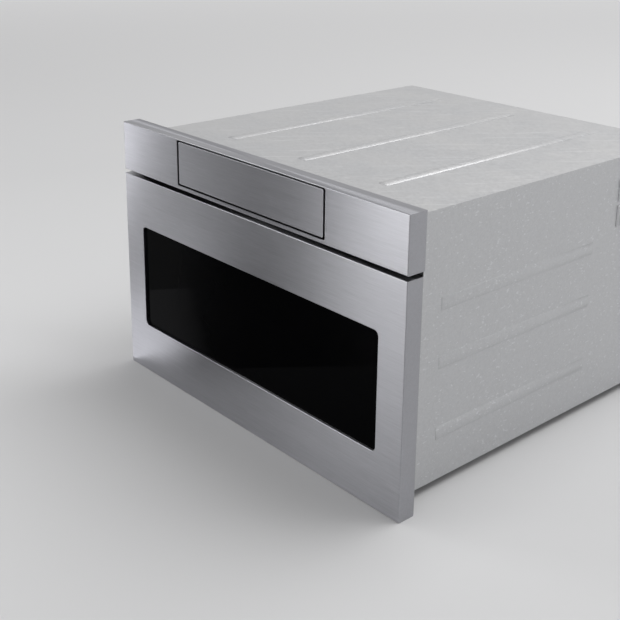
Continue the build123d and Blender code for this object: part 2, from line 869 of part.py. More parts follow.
with BuildPart() as fan_blade:
    fan_start = fan_place + blade_gap
    with BuildSketch(facing(fan_start)):
        with Locations((0, fan_axis)):
            Circle(fan_hub / 2)
    extrude(amount=-(fan_width - 2 * blade_gap))
    fillet(fan_blade.faces().sort_by(Axis.Y)[0].edges(), fan_hub_rounding)
    blade_middle = fan_start + (fan_width - blade_gap) / 2
    for turn in range(fan_blades):
        angle = radians(360.0 / fan_blades * turn)
        blade = Plane(
            origin=(blade_root * cos(angle), blade_middle, fan_axis + blade_root * sin(angle)),
            x_dir=(-sin(angle), blade_lean, cos(angle)),
            z_dir=(cos(angle), 0, sin(angle)),
        )
        with BuildSketch(blade):
            Rectangle(blade_width, blade_sheet)
        extrude(amount=fan_radius - fan_hub / 2)
    with BuildSketch(facing(fan_start)):
        with Locations((0, fan_axis)):
            Circle(fan_shaft / 2)
    extrude(amount=-(fan_width + fan_end - blade_gap - shaft_end_gap))
save("fan_blade", fan_blade)

with BuildPart() as fan_motor:
    motor_front = fan_place + fan_width + fan_end
    motor_half = fan_motor_width / 2
    stack_front = motor_front + fan_stack_gap
    slab(
        (-motor_half, motor_half),
        (stack_front, stack_front + fan_stack),
        (fan_axis - motor_half, fan_axis + motor_half - fan_stack_gap),
    )
    with BuildSketch(facing(motor_front)):
        with Locations((0, fan_axis)):
            Circle(fan_motor_case / 2)
    extrude(amount=-fan_motor_depth)
    coil_xs = (-fan_coil_length / 2, fan_coil_length / 2)
    rod(coil_xs, stack_front + fan_stack / 2, fan_axis - motor_half, fan_coil / 2)
save("fan_motor", fan_motor)

with BuildPart() as transformer_core:
    core_low = base_top
    half_core = core_width / 2
    slab(
        (transformer_x - half_core - core_foot, transformer_x + half_core + core_foot),
        (heavy_y - core_depth / 2, heavy_y + core_depth / 2),
        (core_low, core_low + core_foot_sheet),
    )
    slab(
        (transformer_x - half_core, transformer_x + half_core),
        (heavy_y - core_depth / 2, heavy_y + core_depth / 2),
        (core_low, core_low + core_height),
    )
    for side in (-1, 1):
        window_x = transformer_x + side * core_width / 4
        slab(
            (window_x - core_width / 8, window_x + core_width / 8),
            (heavy_y - core_depth / 2, heavy_y + core_depth / 2),
            (core_low + core_bridge, core_low + core_height - core_bridge),
            Mode.SUBTRACT,
        )
    with BuildSketch(Plane.XY.offset(core_low)):
        with Locations((transformer_x, heavy_y)):
            with GridLocations(core_width + core_foot, core_depth - core_bridge, 2, 2):
                Circle(core_foot_hole / 2)
    extrude(amount=core_foot_sheet, mode=Mode.SUBTRACT)
save("transformer_core", transformer_core)

with BuildPart() as transformer_windings:
    coil_half = core_width * 3 / 8
    coil_back = core_depth / 2 + winding_bulge
    coil_low = core_low + core_bridge + coil_play
    coil_high = core_low + core_height - core_bridge - coil_play
    primary_top = coil_low + primary_height
    for low, high in ((coil_low, primary_top), (primary_top + winding_gap, coil_high)):
        with BuildSketch(Plane.XY.offset(low)):
            with Locations((transformer_x, heavy_y)):
                RectangleRounded(2 * coil_half, 2 * coil_back, winding_corner)
                Rectangle(core_width / 4, core_depth, mode=Mode.SUBTRACT)
        extrude(amount=high - low)
save("transformer_windings", transformer_windings)

with BuildPart() as hv_capacitor:
    with BuildSketch(Plane.XY.offset(base_top)):
        with Locations((capacitor_x, heavy_y)):
            SlotOverall(capacitor_width, capacitor_depth)
    extrude(amount=capacitor_height)
    fillet(hv_capacitor.faces().sort_by(Axis.Z)[-1].edges(), motor_rounding)
    with BuildSketch(Plane.XY.offset(base_top + capacitor_height)):
        with Locations((capacitor_x, heavy_y)):
            with GridLocations(insulator_span, 1, 2, 1):
                Circle(insulator / 2)
    extrude(amount=insulator_height)
    tab_low = base_top + capacitor_height + insulator_height
    for side in (-1, 1):
        tab_x = capacitor_x + side * insulator_span / 2
        slab(
            (tab_x - tab_width / 2, tab_x + tab_width / 2),
            (heavy_y - tab_sheet / 2, heavy_y + tab_sheet / 2),
            (tab_low, tab_low + tab_height),
        )
save("hv_capacitor", hv_capacitor)

# The board's parts: place from the board's middle, width, depth and height
board_parts = (
    ((-40.0, -55.0), 42.0, 46.0, part_tall),
    ((26.0, -67.0), 18.0, 26.0, part_tall),
    ((50.0, -67.0), 18.0, 26.0, part_tall),
    ((26.0, -33.0), 18.0, 26.0, part_tall),
    ((50.0, -33.0), 18.0, 26.0, part_tall),
    ((17.0, 74.0), 26.0, 12.0, part_middle),
    ((51.0, 74.0), 26.0, 12.0, part_middle),
    ((34.0, 26.0), 40.0, 30.0, part_low),
)
round_parts = (((-57.0, 5.0), 18.0), ((-31.0, 5.0), 18.0), ((-57.0, 35.0), 18.0), ((-31.0, 35.0), 18.0))

with BuildPart() as power_board:
    board_low = cavity_roof + board_standoff
    board_top = board_low + board_sheet
    with BuildSketch(Plane.XY.offset(board_low)):
        with Locations((board_x, board_y)):
            Rectangle(board_width, board_depth)
    extrude(amount=board_sheet)
    with BuildSketch(Plane.XY.offset(cavity_roof)):
        with Locations((board_x + board_post, board_y)):
            with GridLocations(board_width - 2 * board_post_inset, board_depth - 2 * board_post, 2, 2):
                Circle(board_post / 2)
    extrude(amount=board_standoff)
    for (part_x, part_y), width, depth, height in board_parts:
        slab(
            (board_x + part_x - width / 2, board_x + part_x + width / 2),
            (board_y + part_y - depth / 2, board_y + part_y + depth / 2),
            (board_top, board_top + height),
        )
    for (part_x, part_y), diameter in round_parts:
        with BuildSketch(Plane.XY.offset(board_top)) as round_part:
            with Locations((board_x + part_x, board_y + part_y)):
                Circle(diameter / 2)
        extrude(round_part.sketch, amount=part_middle)
save("power_board", power_board)

with BuildPart() as interlock_blocks:
    for side in (-1, 1):
        block_x = side * latch_span / 2
        slab(
            (block_x - interlock_width / 2, block_x + interlock_width / 2),
            (0, interlock_depth),
            (latch_rise - interlock_height / 2, latch_rise + interlock_height / 2),
        )
        slab(
            (block_x - latch_sheet / 2 - latch_gap, block_x + latch_sheet / 2 + latch_gap),
            (0, latch_length + latch_room),
            (latch_rise - latch_height / 2 - latch_gap, latch_rise + latch_height / 2 + latch_gap),
            Mode.SUBTRACT,
        )
save("interlock_blocks", interlock_blocks)

with BuildPart() as cord_gland:
    with BuildSketch(facing(back_inside - gland_flange)):
        with Locations((gland_x, gland_z)):
            Circle(gland_diameter / 2 + gland_flange)
    extrude(amount=-gland_flange)
    with BuildSketch(facing(back_inside)):
        with Locations((gland_x, gland_z)):
            Circle(gland_diameter / 2)
    extrude(amount=-(gland_length - gland_flange))
    fillet(cord_gland.faces().sort_by(Axis.Y)[-1].edges(), gland_rounding)
    with BuildSketch(facing(back_inside - gland_flange)):
        with Locations((gland_x, gland_z)):
            Circle(gland_bore / 2)
    extrude(amount=-gland_length, mode=Mode.SUBTRACT)
save("cord_gland", cord_gland)

with BuildPart() as case_screws:
    with BuildSketch(facing(case_depth)):
        with Locations((0, case_middle)):
            with GridLocations(screw_span, screw_row_step, 2, 3):
                RegularPolygon(screw_head / 2, 6)
    extrude(amount=-screw_head_height)
    with BuildSketch(facing(case_depth)):
        with Locations((0, case_middle)):
            with GridLocations(screw_span, screw_row_step, 2, 3):
                Circle(screw_shank / 2)
    extrude(amount=screw_length)
save("case_screws", case_screws)

# Control strip ------------------------------------------------------------------------------------

with BuildPart() as fascia_skin:
    slab((-half_panel, half_panel), (face, frame_face), (strip_bottom, panel_top))
    fillet(fascia_skin.faces().sort_by(Axis.Y)[0].edges(), skin_bend)
    slab(
        (-half_panel + skin, half_panel - skin),
        (face + skin, frame_face),
        (strip_bottom + skin, panel_top - skin),
        Mode.SUBTRACT,
    )
    with BuildSketch(facing(face)):
        with Locations((0, (opening_bottom + opening_top) / 2)):
            RectangleRounded(2 * opening_half, opening_top - opening_bottom, flap_radius)
    extrude(amount=-skin, mode=Mode.SUBTRACT)
save("fascia_skin", fascia_skin)

with BuildPart() as fascia_frame:
    frame_half = half_panel - skin
    frame_low = strip_bottom + skin
    frame_high = panel_top - skin
    slab((-frame_half, frame_half), (face + skin, frame_face), (frame_low, frame_high))
    wing_start = pocket_half + pocket_wall + wing_gap
    for side in (-1, 1):
        wing = sorted((side * wing_start, side * (frame_half - moulding)))
        slab(
            wing,
            (face + skin + moulding, frame_face),
            (frame_low + moulding, frame_high - moulding),
            Mode.SUBTRACT,
        )
    slab(
        (-pocket_half - pocket_wall, pocket_half + pocket_wall),
        (frame_face, pocket_depth + moulding),
        (pocket_floor - moulding, ceiling_inside),
    )
    slab((-pocket_half, pocket_half), (face, 0), (pocket_floor, opening_top), Mode.SUBTRACT)
    slab((-pocket_half, pocket_half), (0, pocket_depth), (pocket_floor, pocket_roof), Mode.SUBTRACT)
    pin_hole = hinge_pin / 2 + hinge_clearance
    rod((-pocket_half - pocket_wall, pocket_half + pocket_wall), hinge_y, hinge_z, pin_hole, Mode.SUBTRACT)
    rod(
        (-pocket_half - pocket_wall, -pocket_half),
        flap_pinion_y,
        flap_pinion_z,
        flap_shaft / 2 + pivot_play,
        Mode.SUBTRACT,
    )
save("fascia_frame", fascia_frame)

with BuildPart() as flap_motor:
    motor_right = -pocket_half - pocket_wall
    rod((motor_right - flap_motor_length, motor_right), flap_pinion_y, flap_pinion_z, flap_motor_diameter / 2)
    rod(
        (motor_right - flap_motor_length - flap_gearbox, motor_right - flap_motor_length),
        flap_pinion_y,
        flap_pinion_z,
        flap_motor_diameter / 2 - flap_gearbox_step,
    )
save("flap_motor", flap_motor)

with BuildPart() as flap_skin:
    with BuildSketch(facing(face)):
        with Locations((0, (flap_bottom + flap_top) / 2)):
            RectangleRounded(flap_width, flap_top - flap_bottom, flap_radius - flap_rounding)
    extrude(amount=-flap_hem)
    fillet(flap_skin.faces().sort_by(Axis.Y)[0].edges(), window_rounding)
    with BuildSketch(facing(face + flap_sheet)):
        with Locations((0, (flap_bottom + flap_top) / 2)):
            Rectangle(flap_width - 2 * flap_sheet, flap_top - flap_bottom - 2 * flap_sheet)
    extrude(amount=-flap_hem, mode=Mode.SUBTRACT)
save("flap_skin", flap_skin)


def slope_point(along, depth):
    """Y and Z of a point of the flap's sloping top, along it from the front and down into it."""
    slope = radians(control_slope)
    y = tray_front + along * cos(slope) - depth * sin(slope)
    z = tray_top - along * sin(slope) - depth * cos(slope)
    return y, z


tray_bottom = flap_bottom + flap_sheet
tray_back = slope_point(control_depth, 0)
tray_foot = (hinge_y + hinge_pin / 2, tray_bottom)
wall_end = flap_wall / cos(radians(control_slope))
board_depth_under_glass = control_glass_sheet + key_gap

with BuildPart() as flap_body:
    prism((flap_left, flap_right), [(tray_front, tray_bottom), (tray_front, tray_top), tray_back, tray_foot])
    prism(
        (flap_left + flap_wall, flap_right - flap_wall),
        [
            (tray_front + flap_wall, tray_bottom + flap_wall),
            (tray_front + flap_wall, tray_top + flap_wall),
            slope_point(control_depth - wall_end, -2 * flap_wall),
            slope_point(control_depth - wall_end, flap_wall),
            (tray_foot[0] - wall_end, tray_bottom + flap_wall),
        ],
        Mode.SUBTRACT,
    )
    rib_depth = board_depth_under_glass + board_sheet
    for rib in rib_places:
        prism(
            (rib - rib_sheet / 2, rib + rib_sheet / 2),
            [
                (tray_front + flap_wall, tray_bottom + flap_wall),
                (tray_front + flap_wall, tray_top - rib_depth - rib_gap),
                slope_point(key_board_start, rib_depth),
                slope_point(control_depth - wall_end - rib_gap, rib_depth),
                (tray_foot[0] - wall_end, tray_bottom + flap_wall),
            ],
        )
    pin_end = pocket_half + pocket_wall - pinion_end_gap
    rod((-pin_end, pin_end), hinge_y, hinge_z, hinge_pin / 2)
save("flap_body", flap_body)

with BuildPart() as control_glass:
    prism(
        (flap_left + flap_wall + glass_fit, flap_right - flap_wall - glass_fit),
        [
            slope_point(wall_end + glass_fit, 0),
            slope_point(control_depth - wall_end - glass_fit, 0),
            slope_point(control_depth - wall_end - glass_fit, control_glass_sheet),
            slope_point(wall_end + glass_fit + control_glass_sheet, control_glass_sheet),
        ],
    )
save("control_glass", control_glass)

with BuildPart() as key_board:
    key_board_end = control_depth - wall_end - rib_gap
    prism(
        (flap_left + flap_wall + rib_sheet / 2, flap_right - flap_wall - rib_sheet / 2),
        [
            slope_point(key_board_start, board_depth_under_glass),
            slope_point(key_board_end, board_depth_under_glass),
            slope_point(key_board_end, board_depth_under_glass + board_sheet),
            slope_point(key_board_start, board_depth_under_glass + board_sheet),
        ],
    )
    prism(
        (-display_half, display_half),
        [
            slope_point(key_board_start + key_gap, control_glass_sheet),
            slope_point(key_board_end - key_gap, control_glass_sheet),
            slope_point(key_board_end - key_gap, board_depth_under_glass),
            slope_point(key_board_start + key_gap, board_depth_under_glass),
        ],
    )
save("key_board", key_board)

with BuildPart() as flap_gear:
    sector_teeth = ceil(flap_tilt / 360.0 * flap_gear_teeth) + spare_teeth
    tooth_angle = 360.0 / flap_gear_teeth
    first_tooth = flap_mesh_angle - (sector_teeth - spare_teeth - 1) * tooth_angle
    outline = gear_outline(
        (hinge_y, hinge_z), flap_gear_teeth, flap_module, first_tooth, flap_backlash, sector_teeth
    )
    with BuildSketch(Plane.YZ.offset(flap_left - flap_gear_sheet)):
        with BuildLine():
            Polyline((hinge_y, hinge_z), *outline, close=True)
        make_face()
        with Locations((hinge_y, hinge_z)):
            Circle(hinge_pin / 2 + hinge_boss)
            Circle(hinge_pin / 2, mode=Mode.SUBTRACT)
    extrude(amount=flap_gear_sheet)
save("flap_gear", flap_gear)

with BuildPart() as flap_pinion:
    spur_gear(
        (flap_left - flap_gear_sheet - pinion_end_gap, flap_left - pinion_end_gap),
        (flap_pinion_y, flap_pinion_z),
        flap_pinion_teeth,
        flap_module,
        flap_mesh_angle + 180.0 + 180.0 / flap_pinion_teeth,
        flap_backlash,
        0,
    )
    shaft_left = -pocket_half - pocket_wall + shaft_end_gap
    rod((shaft_left, flap_left - pinion_end_gap), flap_pinion_y, flap_pinion_z, flap_shaft / 2)
save("flap_pinion", flap_pinion)

# Drawer -------------------------------------------------------------------------------------------

with BuildPart() as drawer_skin:
    slab((-half_panel, half_panel), (face, -skin_return), (panel_bottom, drawer_top))
    fillet(drawer_skin.faces().sort_by(Axis.Y)[0].edges(), skin_bend)
    slab(
        (-half_panel + skin, half_panel - skin),
        (face + skin, -skin_return),
        (panel_bottom + skin, drawer_top - skin),
        Mode.SUBTRACT,
    )
    window_frame(face + skin, window_lip, skin, window_radius)
    window_frame(face, skin + window_lip, 0, window_radius, Mode.SUBTRACT)
    fillet(drawer_skin.faces().sort_by(Axis.Y)[0].inner_wires()[0].edges(), window_rounding)
save("drawer_skin", drawer_skin)

glass_front = face + skin + window_lip
glass_back = glass_front + glass

with BuildPart() as door_glass:
    window_frame(glass_front, glass, glass_overlap, glass_corner)
save("door_glass", door_glass)

with BuildPart() as door_frame:
    slab(
        (-half_panel + skin, half_panel - skin),
        (glass_back, door_back),
        (panel_bottom + skin, drawer_top - skin),
    )
    pan_ring(glass_back, door_back - glass_back, 0, Mode.SUBTRACT)
    choke_end = choke_start + choke_width
    half_choke, choke_low, choke_high = around_pan(choke_end + door_sheet)
    wall = skin + door_sheet
    for xs, zs in (
        ((-half_panel + wall, -half_choke), (panel_bottom + wall, drawer_top - wall)),
        ((half_choke, half_panel - wall), (panel_bottom + wall, drawer_top - wall)),
        ((-half_choke, half_choke), (panel_bottom + wall, choke_low)),
        ((-half_choke, half_choke), (choke_high, drawer_top - wall)),
    ):
        slab(xs, (glass_back, door_back - door_sheet), zs, Mode.SUBTRACT)
    for grow_out, grow_in, ys in (
        (choke_end, choke_start + door_sheet, (glass_back + door_sheet, door_back)),
        (choke_start, door_sheet, (glass_back, door_back - door_sheet)),
    ):
        out_half, out_low, out_high = around_pan(grow_out)
        in_half, in_low, in_high = around_pan(grow_in)
        for xs, zs in (
            ((-out_half, -in_half), (out_low, out_high)),
            ((in_half, out_half), (out_low, out_high)),
            ((-in_half, in_half), (out_low, in_low)),
            ((-in_half, in_half), (in_high, out_high)),
        ):
            slab(xs, ys, zs, Mode.SUBTRACT)
save("door_frame", door_frame)

with BuildPart() as choke_cover:
    cover_out = choke_end - choke_cover_fit
    cover_in = choke_start + door_sheet + choke_cover_fit
    cover_front = door_back - choke_cover_sheet
    pan_ring(cover_front, choke_cover_sheet, cover_out)
    rim_front = cover_front - choke_cover_rim
    pan_ring(rim_front, choke_cover_rim, cover_out)
    pan_ring(rim_front, choke_cover_rim, cover_out - choke_rim_wall, Mode.SUBTRACT)
    pan_ring(rim_front, choke_cover_rim + choke_cover_sheet, cover_in, Mode.SUBTRACT)
save("choke_cover", choke_cover)

with BuildPart() as window_screen:
    pan_ring(pan_front - inner_glass_sheet - screen_sheet, screen_sheet, 0)
save("window_screen", window_screen)

with BuildPart() as inner_glass:
    pan_ring(pan_front - inner_glass_sheet, inner_glass_sheet, 0)
save("inner_glass", inner_glass)

with BuildPart() as drawer_pan:
    slab((-half_pan, half_pan), (pan_front, pan_back + pan_sheet), (pan_floor - pan_sheet, pan_top))
    low_face = drawer_pan.faces().sort_by(Axis.Z)[0]
    lower_edges = low_face.edges().sort_by(Axis.Y)[1:]
    upright_edges = drawer_pan.edges().filter_by(Axis.Z).group_by(Axis.Y)[-1]
    fillet(lower_edges + upright_edges, pan_corner)
    pan_openings = [drawer_pan.faces().sort_by(Axis.Z)[-1], drawer_pan.faces().sort_by(Axis.Y)[0]]
    offset(amount=-pan_sheet, openings=pan_openings)
    with BuildSketch(Plane.XY.offset(pan_top)) as rim_plan:
        with Locations((0, (door_back + pan_back + pan_sheet) / 2)):
            Rectangle(2 * half_pan, pan_back + pan_sheet - door_back)
        offset(amount=pan_rim)
        with Locations((0, (door_back + pan_back) / 2 - pan_rim)):
            Rectangle(2 * half_pan - 2 * pan_sheet, pan_back - door_back + 2 * pan_rim, mode=Mode.SUBTRACT)
        with Locations((0, door_back - pan_rim)):
            Rectangle(4 * half_pan, 2 * pan_rim, mode=Mode.SUBTRACT)
    extrude(amount=pan_sheet)
save("drawer_pan", drawer_pan)

with BuildPart() as latch_hooks:
    for side in (-1, 1):
        hook_x = side * latch_span / 2
        prism(
            (hook_x - latch_sheet / 2, hook_x + latch_sheet / 2),
            [
                (door_back, latch_rise - latch_height / 2),
                (door_back + latch_length, latch_rise - latch_height / 2),
                (door_back + latch_length, latch_rise + latch_height / 4),
                (door_back + latch_length - latch_room, latch_rise + latch_height / 2),
                (door_back + latch_length - latch_neck, latch_rise + latch_height / 2),
                (door_back + latch_length - latch_neck, latch_rise),
                (door_back + latch_room, latch_rise),
                (door_back + latch_room, latch_rise + latch_height / 2),
                (door_back, latch_rise + latch_height / 2),
            ],
        )
save("latch_hooks", latch_hooks)

# Slides, arms and racks: the right-hand pieces, and the left-hand ones mirrored from them ----------

slide_back = slide_setback + slide_length


def channel(web, lips, height, ys):
    """Add a slide member: a web at one X span and two lips reaching over another."""
    slab(web, ys, (slide_axis - height / 2, slide_axis + height / 2))
    for side in (-1, 1):
        lip = sorted((slide_axis + side * height / 2, slide_axis + side * (height / 2 - slide_sheet)))
        slab(lips, ys, lip)


with BuildPart() as slide_angle_right:
    angle_ys = (angle_start, angle_start + angle_length)
    slab((angle_face, angle_face + angle_sheet), angle_ys, (base_top, arm_top + angle_over))
    slab((angle_face - angle_foot, angle_face), angle_ys, (base_top, base_top + angle_sheet))
    with BuildSketch(Plane.XY.offset(base_top)):
        with Locations((angle_face - angle_foot / 2, angle_start + angle_length / 2)):
            with GridLocations(1, angle_length / angle_holes, 1, angle_holes):
                Circle(angle_hole / 2)
    extrude(amount=angle_sheet, mode=Mode.SUBTRACT)

with BuildPart() as slide_outer_right:
    channel(
        (angle_face - slide_sheet, angle_face),
        (slide_inside + outer_lip, angle_face - slide_sheet),
        slide_height,
        (slide_setback, slide_back),
    )

with BuildPart() as slide_middle_right:
    channel(
        (middle_web - slide_sheet, middle_web),
        (slide_inside + slide_sheet + lip_gap, middle_web - slide_sheet),
        middle_height,
        (slide_setback, slide_back),
    )

with BuildPart() as slide_inner_right:
    channel(
        (slide_inside, slide_inside + slide_sheet),
        (slide_inside + slide_sheet, middle_web - slide_sheet - race_gap),
        inner_height,
        (slide_setback, slide_back),
    )

with BuildPart() as drawer_arm_right:
    slab((arm_inside, slide_inside), (door_back, slide_back), (arm_bottom, arm_top))
    foot_start = slide_inside - arm_foot
    slab((foot_start, arm_inside), (door_back, slide_back), (arm_bottom, arm_bottom + arm_sheet))
    tab_xs = (foot_start + arm_tab, arm_inside)
    slab(tab_xs, (door_back, door_back + arm_sheet), (arm_bottom + arm_sheet, arm_top))
    with BuildSketch(Plane.YZ.offset(arm_inside)):
        with Locations((slide_back / 2, (arm_bottom + arm_sheet + slide_axis - slide_height / 2) / 2)):
            with GridLocations(arm_slot_pitch, 1, arm_slots, 1):
                SlotOverall(arm_slot, arm_slot_height)
    extrude(amount=arm_sheet, mode=Mode.SUBTRACT)

rack_pitch = pi * gear_module
rack_start = shaft_setback - (teeth_ahead + 0.5) * rack_pitch
rack_teeth = int(rack_length / rack_pitch)

with BuildPart() as rack_right:
    rack_end = rack_start + rack_teeth * rack_pitch
    half_root = rack_pitch / 4 - backlash / 4 + tooth_root * gear_module * tan(radians(pressure_angle))
    half_tip = rack_pitch / 4 - backlash / 4 - tooth_reach * gear_module * tan(radians(pressure_angle))
    rack_tip = pitch_line - tooth_reach * gear_module
    outline = [(rack_end, rack_root), (rack_end, rack_top), (rack_start, rack_top), (rack_start, rack_root)]
    for tooth in range(rack_teeth):
        tooth_middle = rack_start + (tooth + 0.5) * rack_pitch
        outline += [
            (tooth_middle - half_root, rack_root),
            (tooth_middle - half_tip, rack_tip),
            (tooth_middle + half_tip, rack_tip),
            (tooth_middle + half_root, rack_root),
        ]
    prism((rack_inside, rack_inside + rack_width), outline)

for name, right in (
    ("slide_angle", slide_angle_right),
    ("slide_outer", slide_outer_right),
    ("slide_middle", slide_middle_right),
    ("slide_inner", slide_inner_right),
    ("drawer_arm", drawer_arm_right),
    ("rack", rack_right),
):
    with BuildPart() as left:
        mirror(right.part, about=Plane.YZ)
    save(f"{name}_right", right)
    save(f"{name}_left", left)

cage_x = (slide_inside + lip_gap + middle_web - race_gap) / 2


def ball_cages(race_height):
    """Add four strips of balls, above and below the member of this height on both slides."""
    for side in (-1, 1):
        for level in (-1, 1):
            strip_x = side * cage_x
            strip_z = slide_axis + level * (race_height / 2 + ball / 2 + ball_play)
            slab(
                (strip_x - cage_width / 2, strip_x + cage_width / 2),
                (cage_start, cage_start + cage_length),
                (strip_z - cage_sheet / 2, strip_z + cage_sheet / 2),
            )
            with Locations((strip_x, cage_start + cage_length / 2, strip_z)):
                with GridLocations(1, cage_length / ball_count, 1, ball_count):
                    Sphere(ball / 2)


with BuildPart() as outer_ball_cages:
    ball_cages(middle_height)
save("outer_ball_cages", outer_ball_cages)

with BuildPart() as inner_ball_cages:
    ball_cages(inner_height)
save("inner_ball_cages", inner_ball_cages)

# Drive --------------------------------------------------------------------------------------------

shaft_end = rack_inside + rack_width + shaft_overhang
drive_gear_xs = (drive_gear_place - gear_width / 2, drive_gear_place + gear_width / 2)

with BuildPart() as drive_shaft:
    rod((-shaft_end, shaft_end), shaft_setback, shaft_axis, shaft_radius)
save("drive_shaft", drive_shaft)

for name, side in (("pinion_left", -1), ("pinion_right", 1)):
    with BuildPart() as pinion:
        pinion_x = side * rack_middle
        spur_gear(
            (pinion_x - gear_width / 2, pinion_x + gear_width / 2),
            (shaft_setback, shaft_axis),
            pinion_teeth,
            gear_module,
            90.0 + 180.0 / pinion_teeth,
            backlash,
            shaft_radius,
        )
    save(name, pinion)

with BuildPart() as drive_gear:
    spur_gear(
        drive_gear_xs,
        (shaft_setback, shaft_axis),
        drive_gear_teeth,
        gear_module,
        mesh_angle,
        backlash,
        shaft_radius,
    )
save("drive_gear", drive_gear)

with BuildPart() as motor_gear:
    spur_gear(
        drive_gear_xs,
        (motor_axis_y, motor_axis_z),
        motor_gear_teeth,
        gear_module,
        mesh_angle + 180.0 + 180.0 / motor_gear_teeth,
        backlash,
        0,
    )
    shaft_reach = drive_gear_xs[1] + motor_shaft_reach
    rod((drive_gear_xs[1], shaft_reach), motor_axis_y, motor_axis_z, motor_shaft / 2)
save("motor_gear", motor_gear)

with BuildPart() as drive_motor:
    motor_left = drive_gear_xs[1] + motor_gear_gap
    motor_right_end = motor_left + drive_motor_length
    motor_radius = drive_motor_diameter / 2
    rod((motor_left, motor_left + gearbox_length), motor_axis_y, motor_axis_z, motor_radius)
    rod((motor_left + gearbox_length, motor_right_end), motor_axis_y, motor_axis_z, motor_radius - gearbox_step)
    rod((motor_right_end, motor_right_end + motor_boss_length), motor_axis_y, motor_axis_z, motor_boss / 2)
    saddle_left = motor_left + saddle_start
    slab(
        (saddle_left, saddle_left + saddle_length),
        (motor_axis_y - saddle_front, motor_axis_y + motor_radius + saddle_back),
        (base_top, base_top + saddle_sheet),
    )
    slab(
        (saddle_left + saddle_step, saddle_left + saddle_length - saddle_step),
        (motor_axis_y - saddle_front, motor_axis_y + motor_radius - saddle_sheet),
        (base_top, motor_axis_z),
    )
    boss_depth = drive_gear_xs[1] + motor_shaft_reach - motor_left + shaft_end_gap
    boss_hole = motor_shaft / 2 + running_clearance
    rod((motor_left, motor_left + boss_depth), motor_axis_y, motor_axis_z, boss_hole, Mode.SUBTRACT)
save("drive_motor", drive_motor)

with BuildPart() as shaft_bearings:
    bearing_radius = shaft_radius + bearing_wall
    outer_bearing = rack_inside - bearing_gap
    for bearing_x in (-outer_bearing, middle_bearing_place, outer_bearing):
        xs = (bearing_x - bearing_width / 2, bearing_x + bearing_width / 2)
        slab(xs, (shaft_setback - bearing_radius, shaft_setback + bearing_radius), (base_top, shaft_axis))
        rod(xs, shaft_setback, shaft_axis, bearing_radius)
        rod(xs, shaft_setback, shaft_axis, shaft_radius + running_clearance, Mode.SUBTRACT)
save("shaft_bearings", shaft_bearings)
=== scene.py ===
import logging
import math
from collections.abc import Callable
from dataclasses import dataclass, field
from enum import Enum
from typing import ClassVar, Self

import bmesh
import bpy
from mathutils import Matrix, Vector


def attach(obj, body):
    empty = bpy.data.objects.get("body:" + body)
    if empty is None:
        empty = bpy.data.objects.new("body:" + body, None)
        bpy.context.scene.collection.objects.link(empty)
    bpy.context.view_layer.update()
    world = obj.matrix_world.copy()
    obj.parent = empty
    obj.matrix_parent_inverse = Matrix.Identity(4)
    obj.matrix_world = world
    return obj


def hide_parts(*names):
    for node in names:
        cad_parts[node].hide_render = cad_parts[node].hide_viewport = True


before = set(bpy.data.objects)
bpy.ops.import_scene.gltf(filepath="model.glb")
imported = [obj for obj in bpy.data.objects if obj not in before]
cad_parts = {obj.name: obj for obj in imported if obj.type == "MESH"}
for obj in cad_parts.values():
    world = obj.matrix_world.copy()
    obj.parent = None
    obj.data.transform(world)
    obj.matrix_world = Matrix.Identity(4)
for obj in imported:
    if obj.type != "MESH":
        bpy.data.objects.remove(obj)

log = logging.getLogger("drawer")

X, Y, Z = range(3)
NOWHERE = (0.0, 0.0, 0.0)
FLAT = 0.9  # a face whose normal has more than this along an axis faces that way
RING_FLATNESS = 0.15  # a key ring's height over its wire's thickness
SOLDER_MASK = (0.012, 0.18, 0.06)
TYPE_SIZE = 1.42  # a digit's type size over its height
WAVE_SCALE = 0.314  # a wave texture's scale over this is one band per metre
BOTH_SIDES = (("left", -1.0), ("right", 1.0))

Colour = tuple[float, float, float]
Point = tuple[float, float, float]
Pair = tuple[float, float]
Socket = bpy.types.NodeSocket
Sockets = bpy.types.NodeInputs | bpy.types.NodeOutputs
FaceTest = Callable[[Vector, Vector], bool]


def mm(*lengths: float) -> Point:
    """Turn millimetres into Blender's metres."""
    return tuple(length / 1000 for length in lengths)


def facing(axis: int, sign: float = 1.0) -> FaceTest:
    """Give the test for faces that face along an axis, or against it where the sign is -1."""
    return lambda place, normal: normal[axis] * sign > FLAT


def pairs(*stems: str) -> tuple[str, ...]:
    """Give the left and right names of what comes in pairs."""
    return tuple(f"{stem}_{side}" for stem in stems for side, _ in BOTH_SIDES)


def new_material(name: str) -> tuple[bpy.types.Material, "Graph", Sockets]:
    """Start a material with the plain shader.

    Args:
        name: Its name.

    Returns:
        The material, its graph and its shader's inputs.
    """
    material = bpy.data.materials.new(name)
    material.use_nodes = True
    return material, Graph(material.node_tree), material.node_tree.nodes["Principled BSDF"].inputs


# Shader graphs


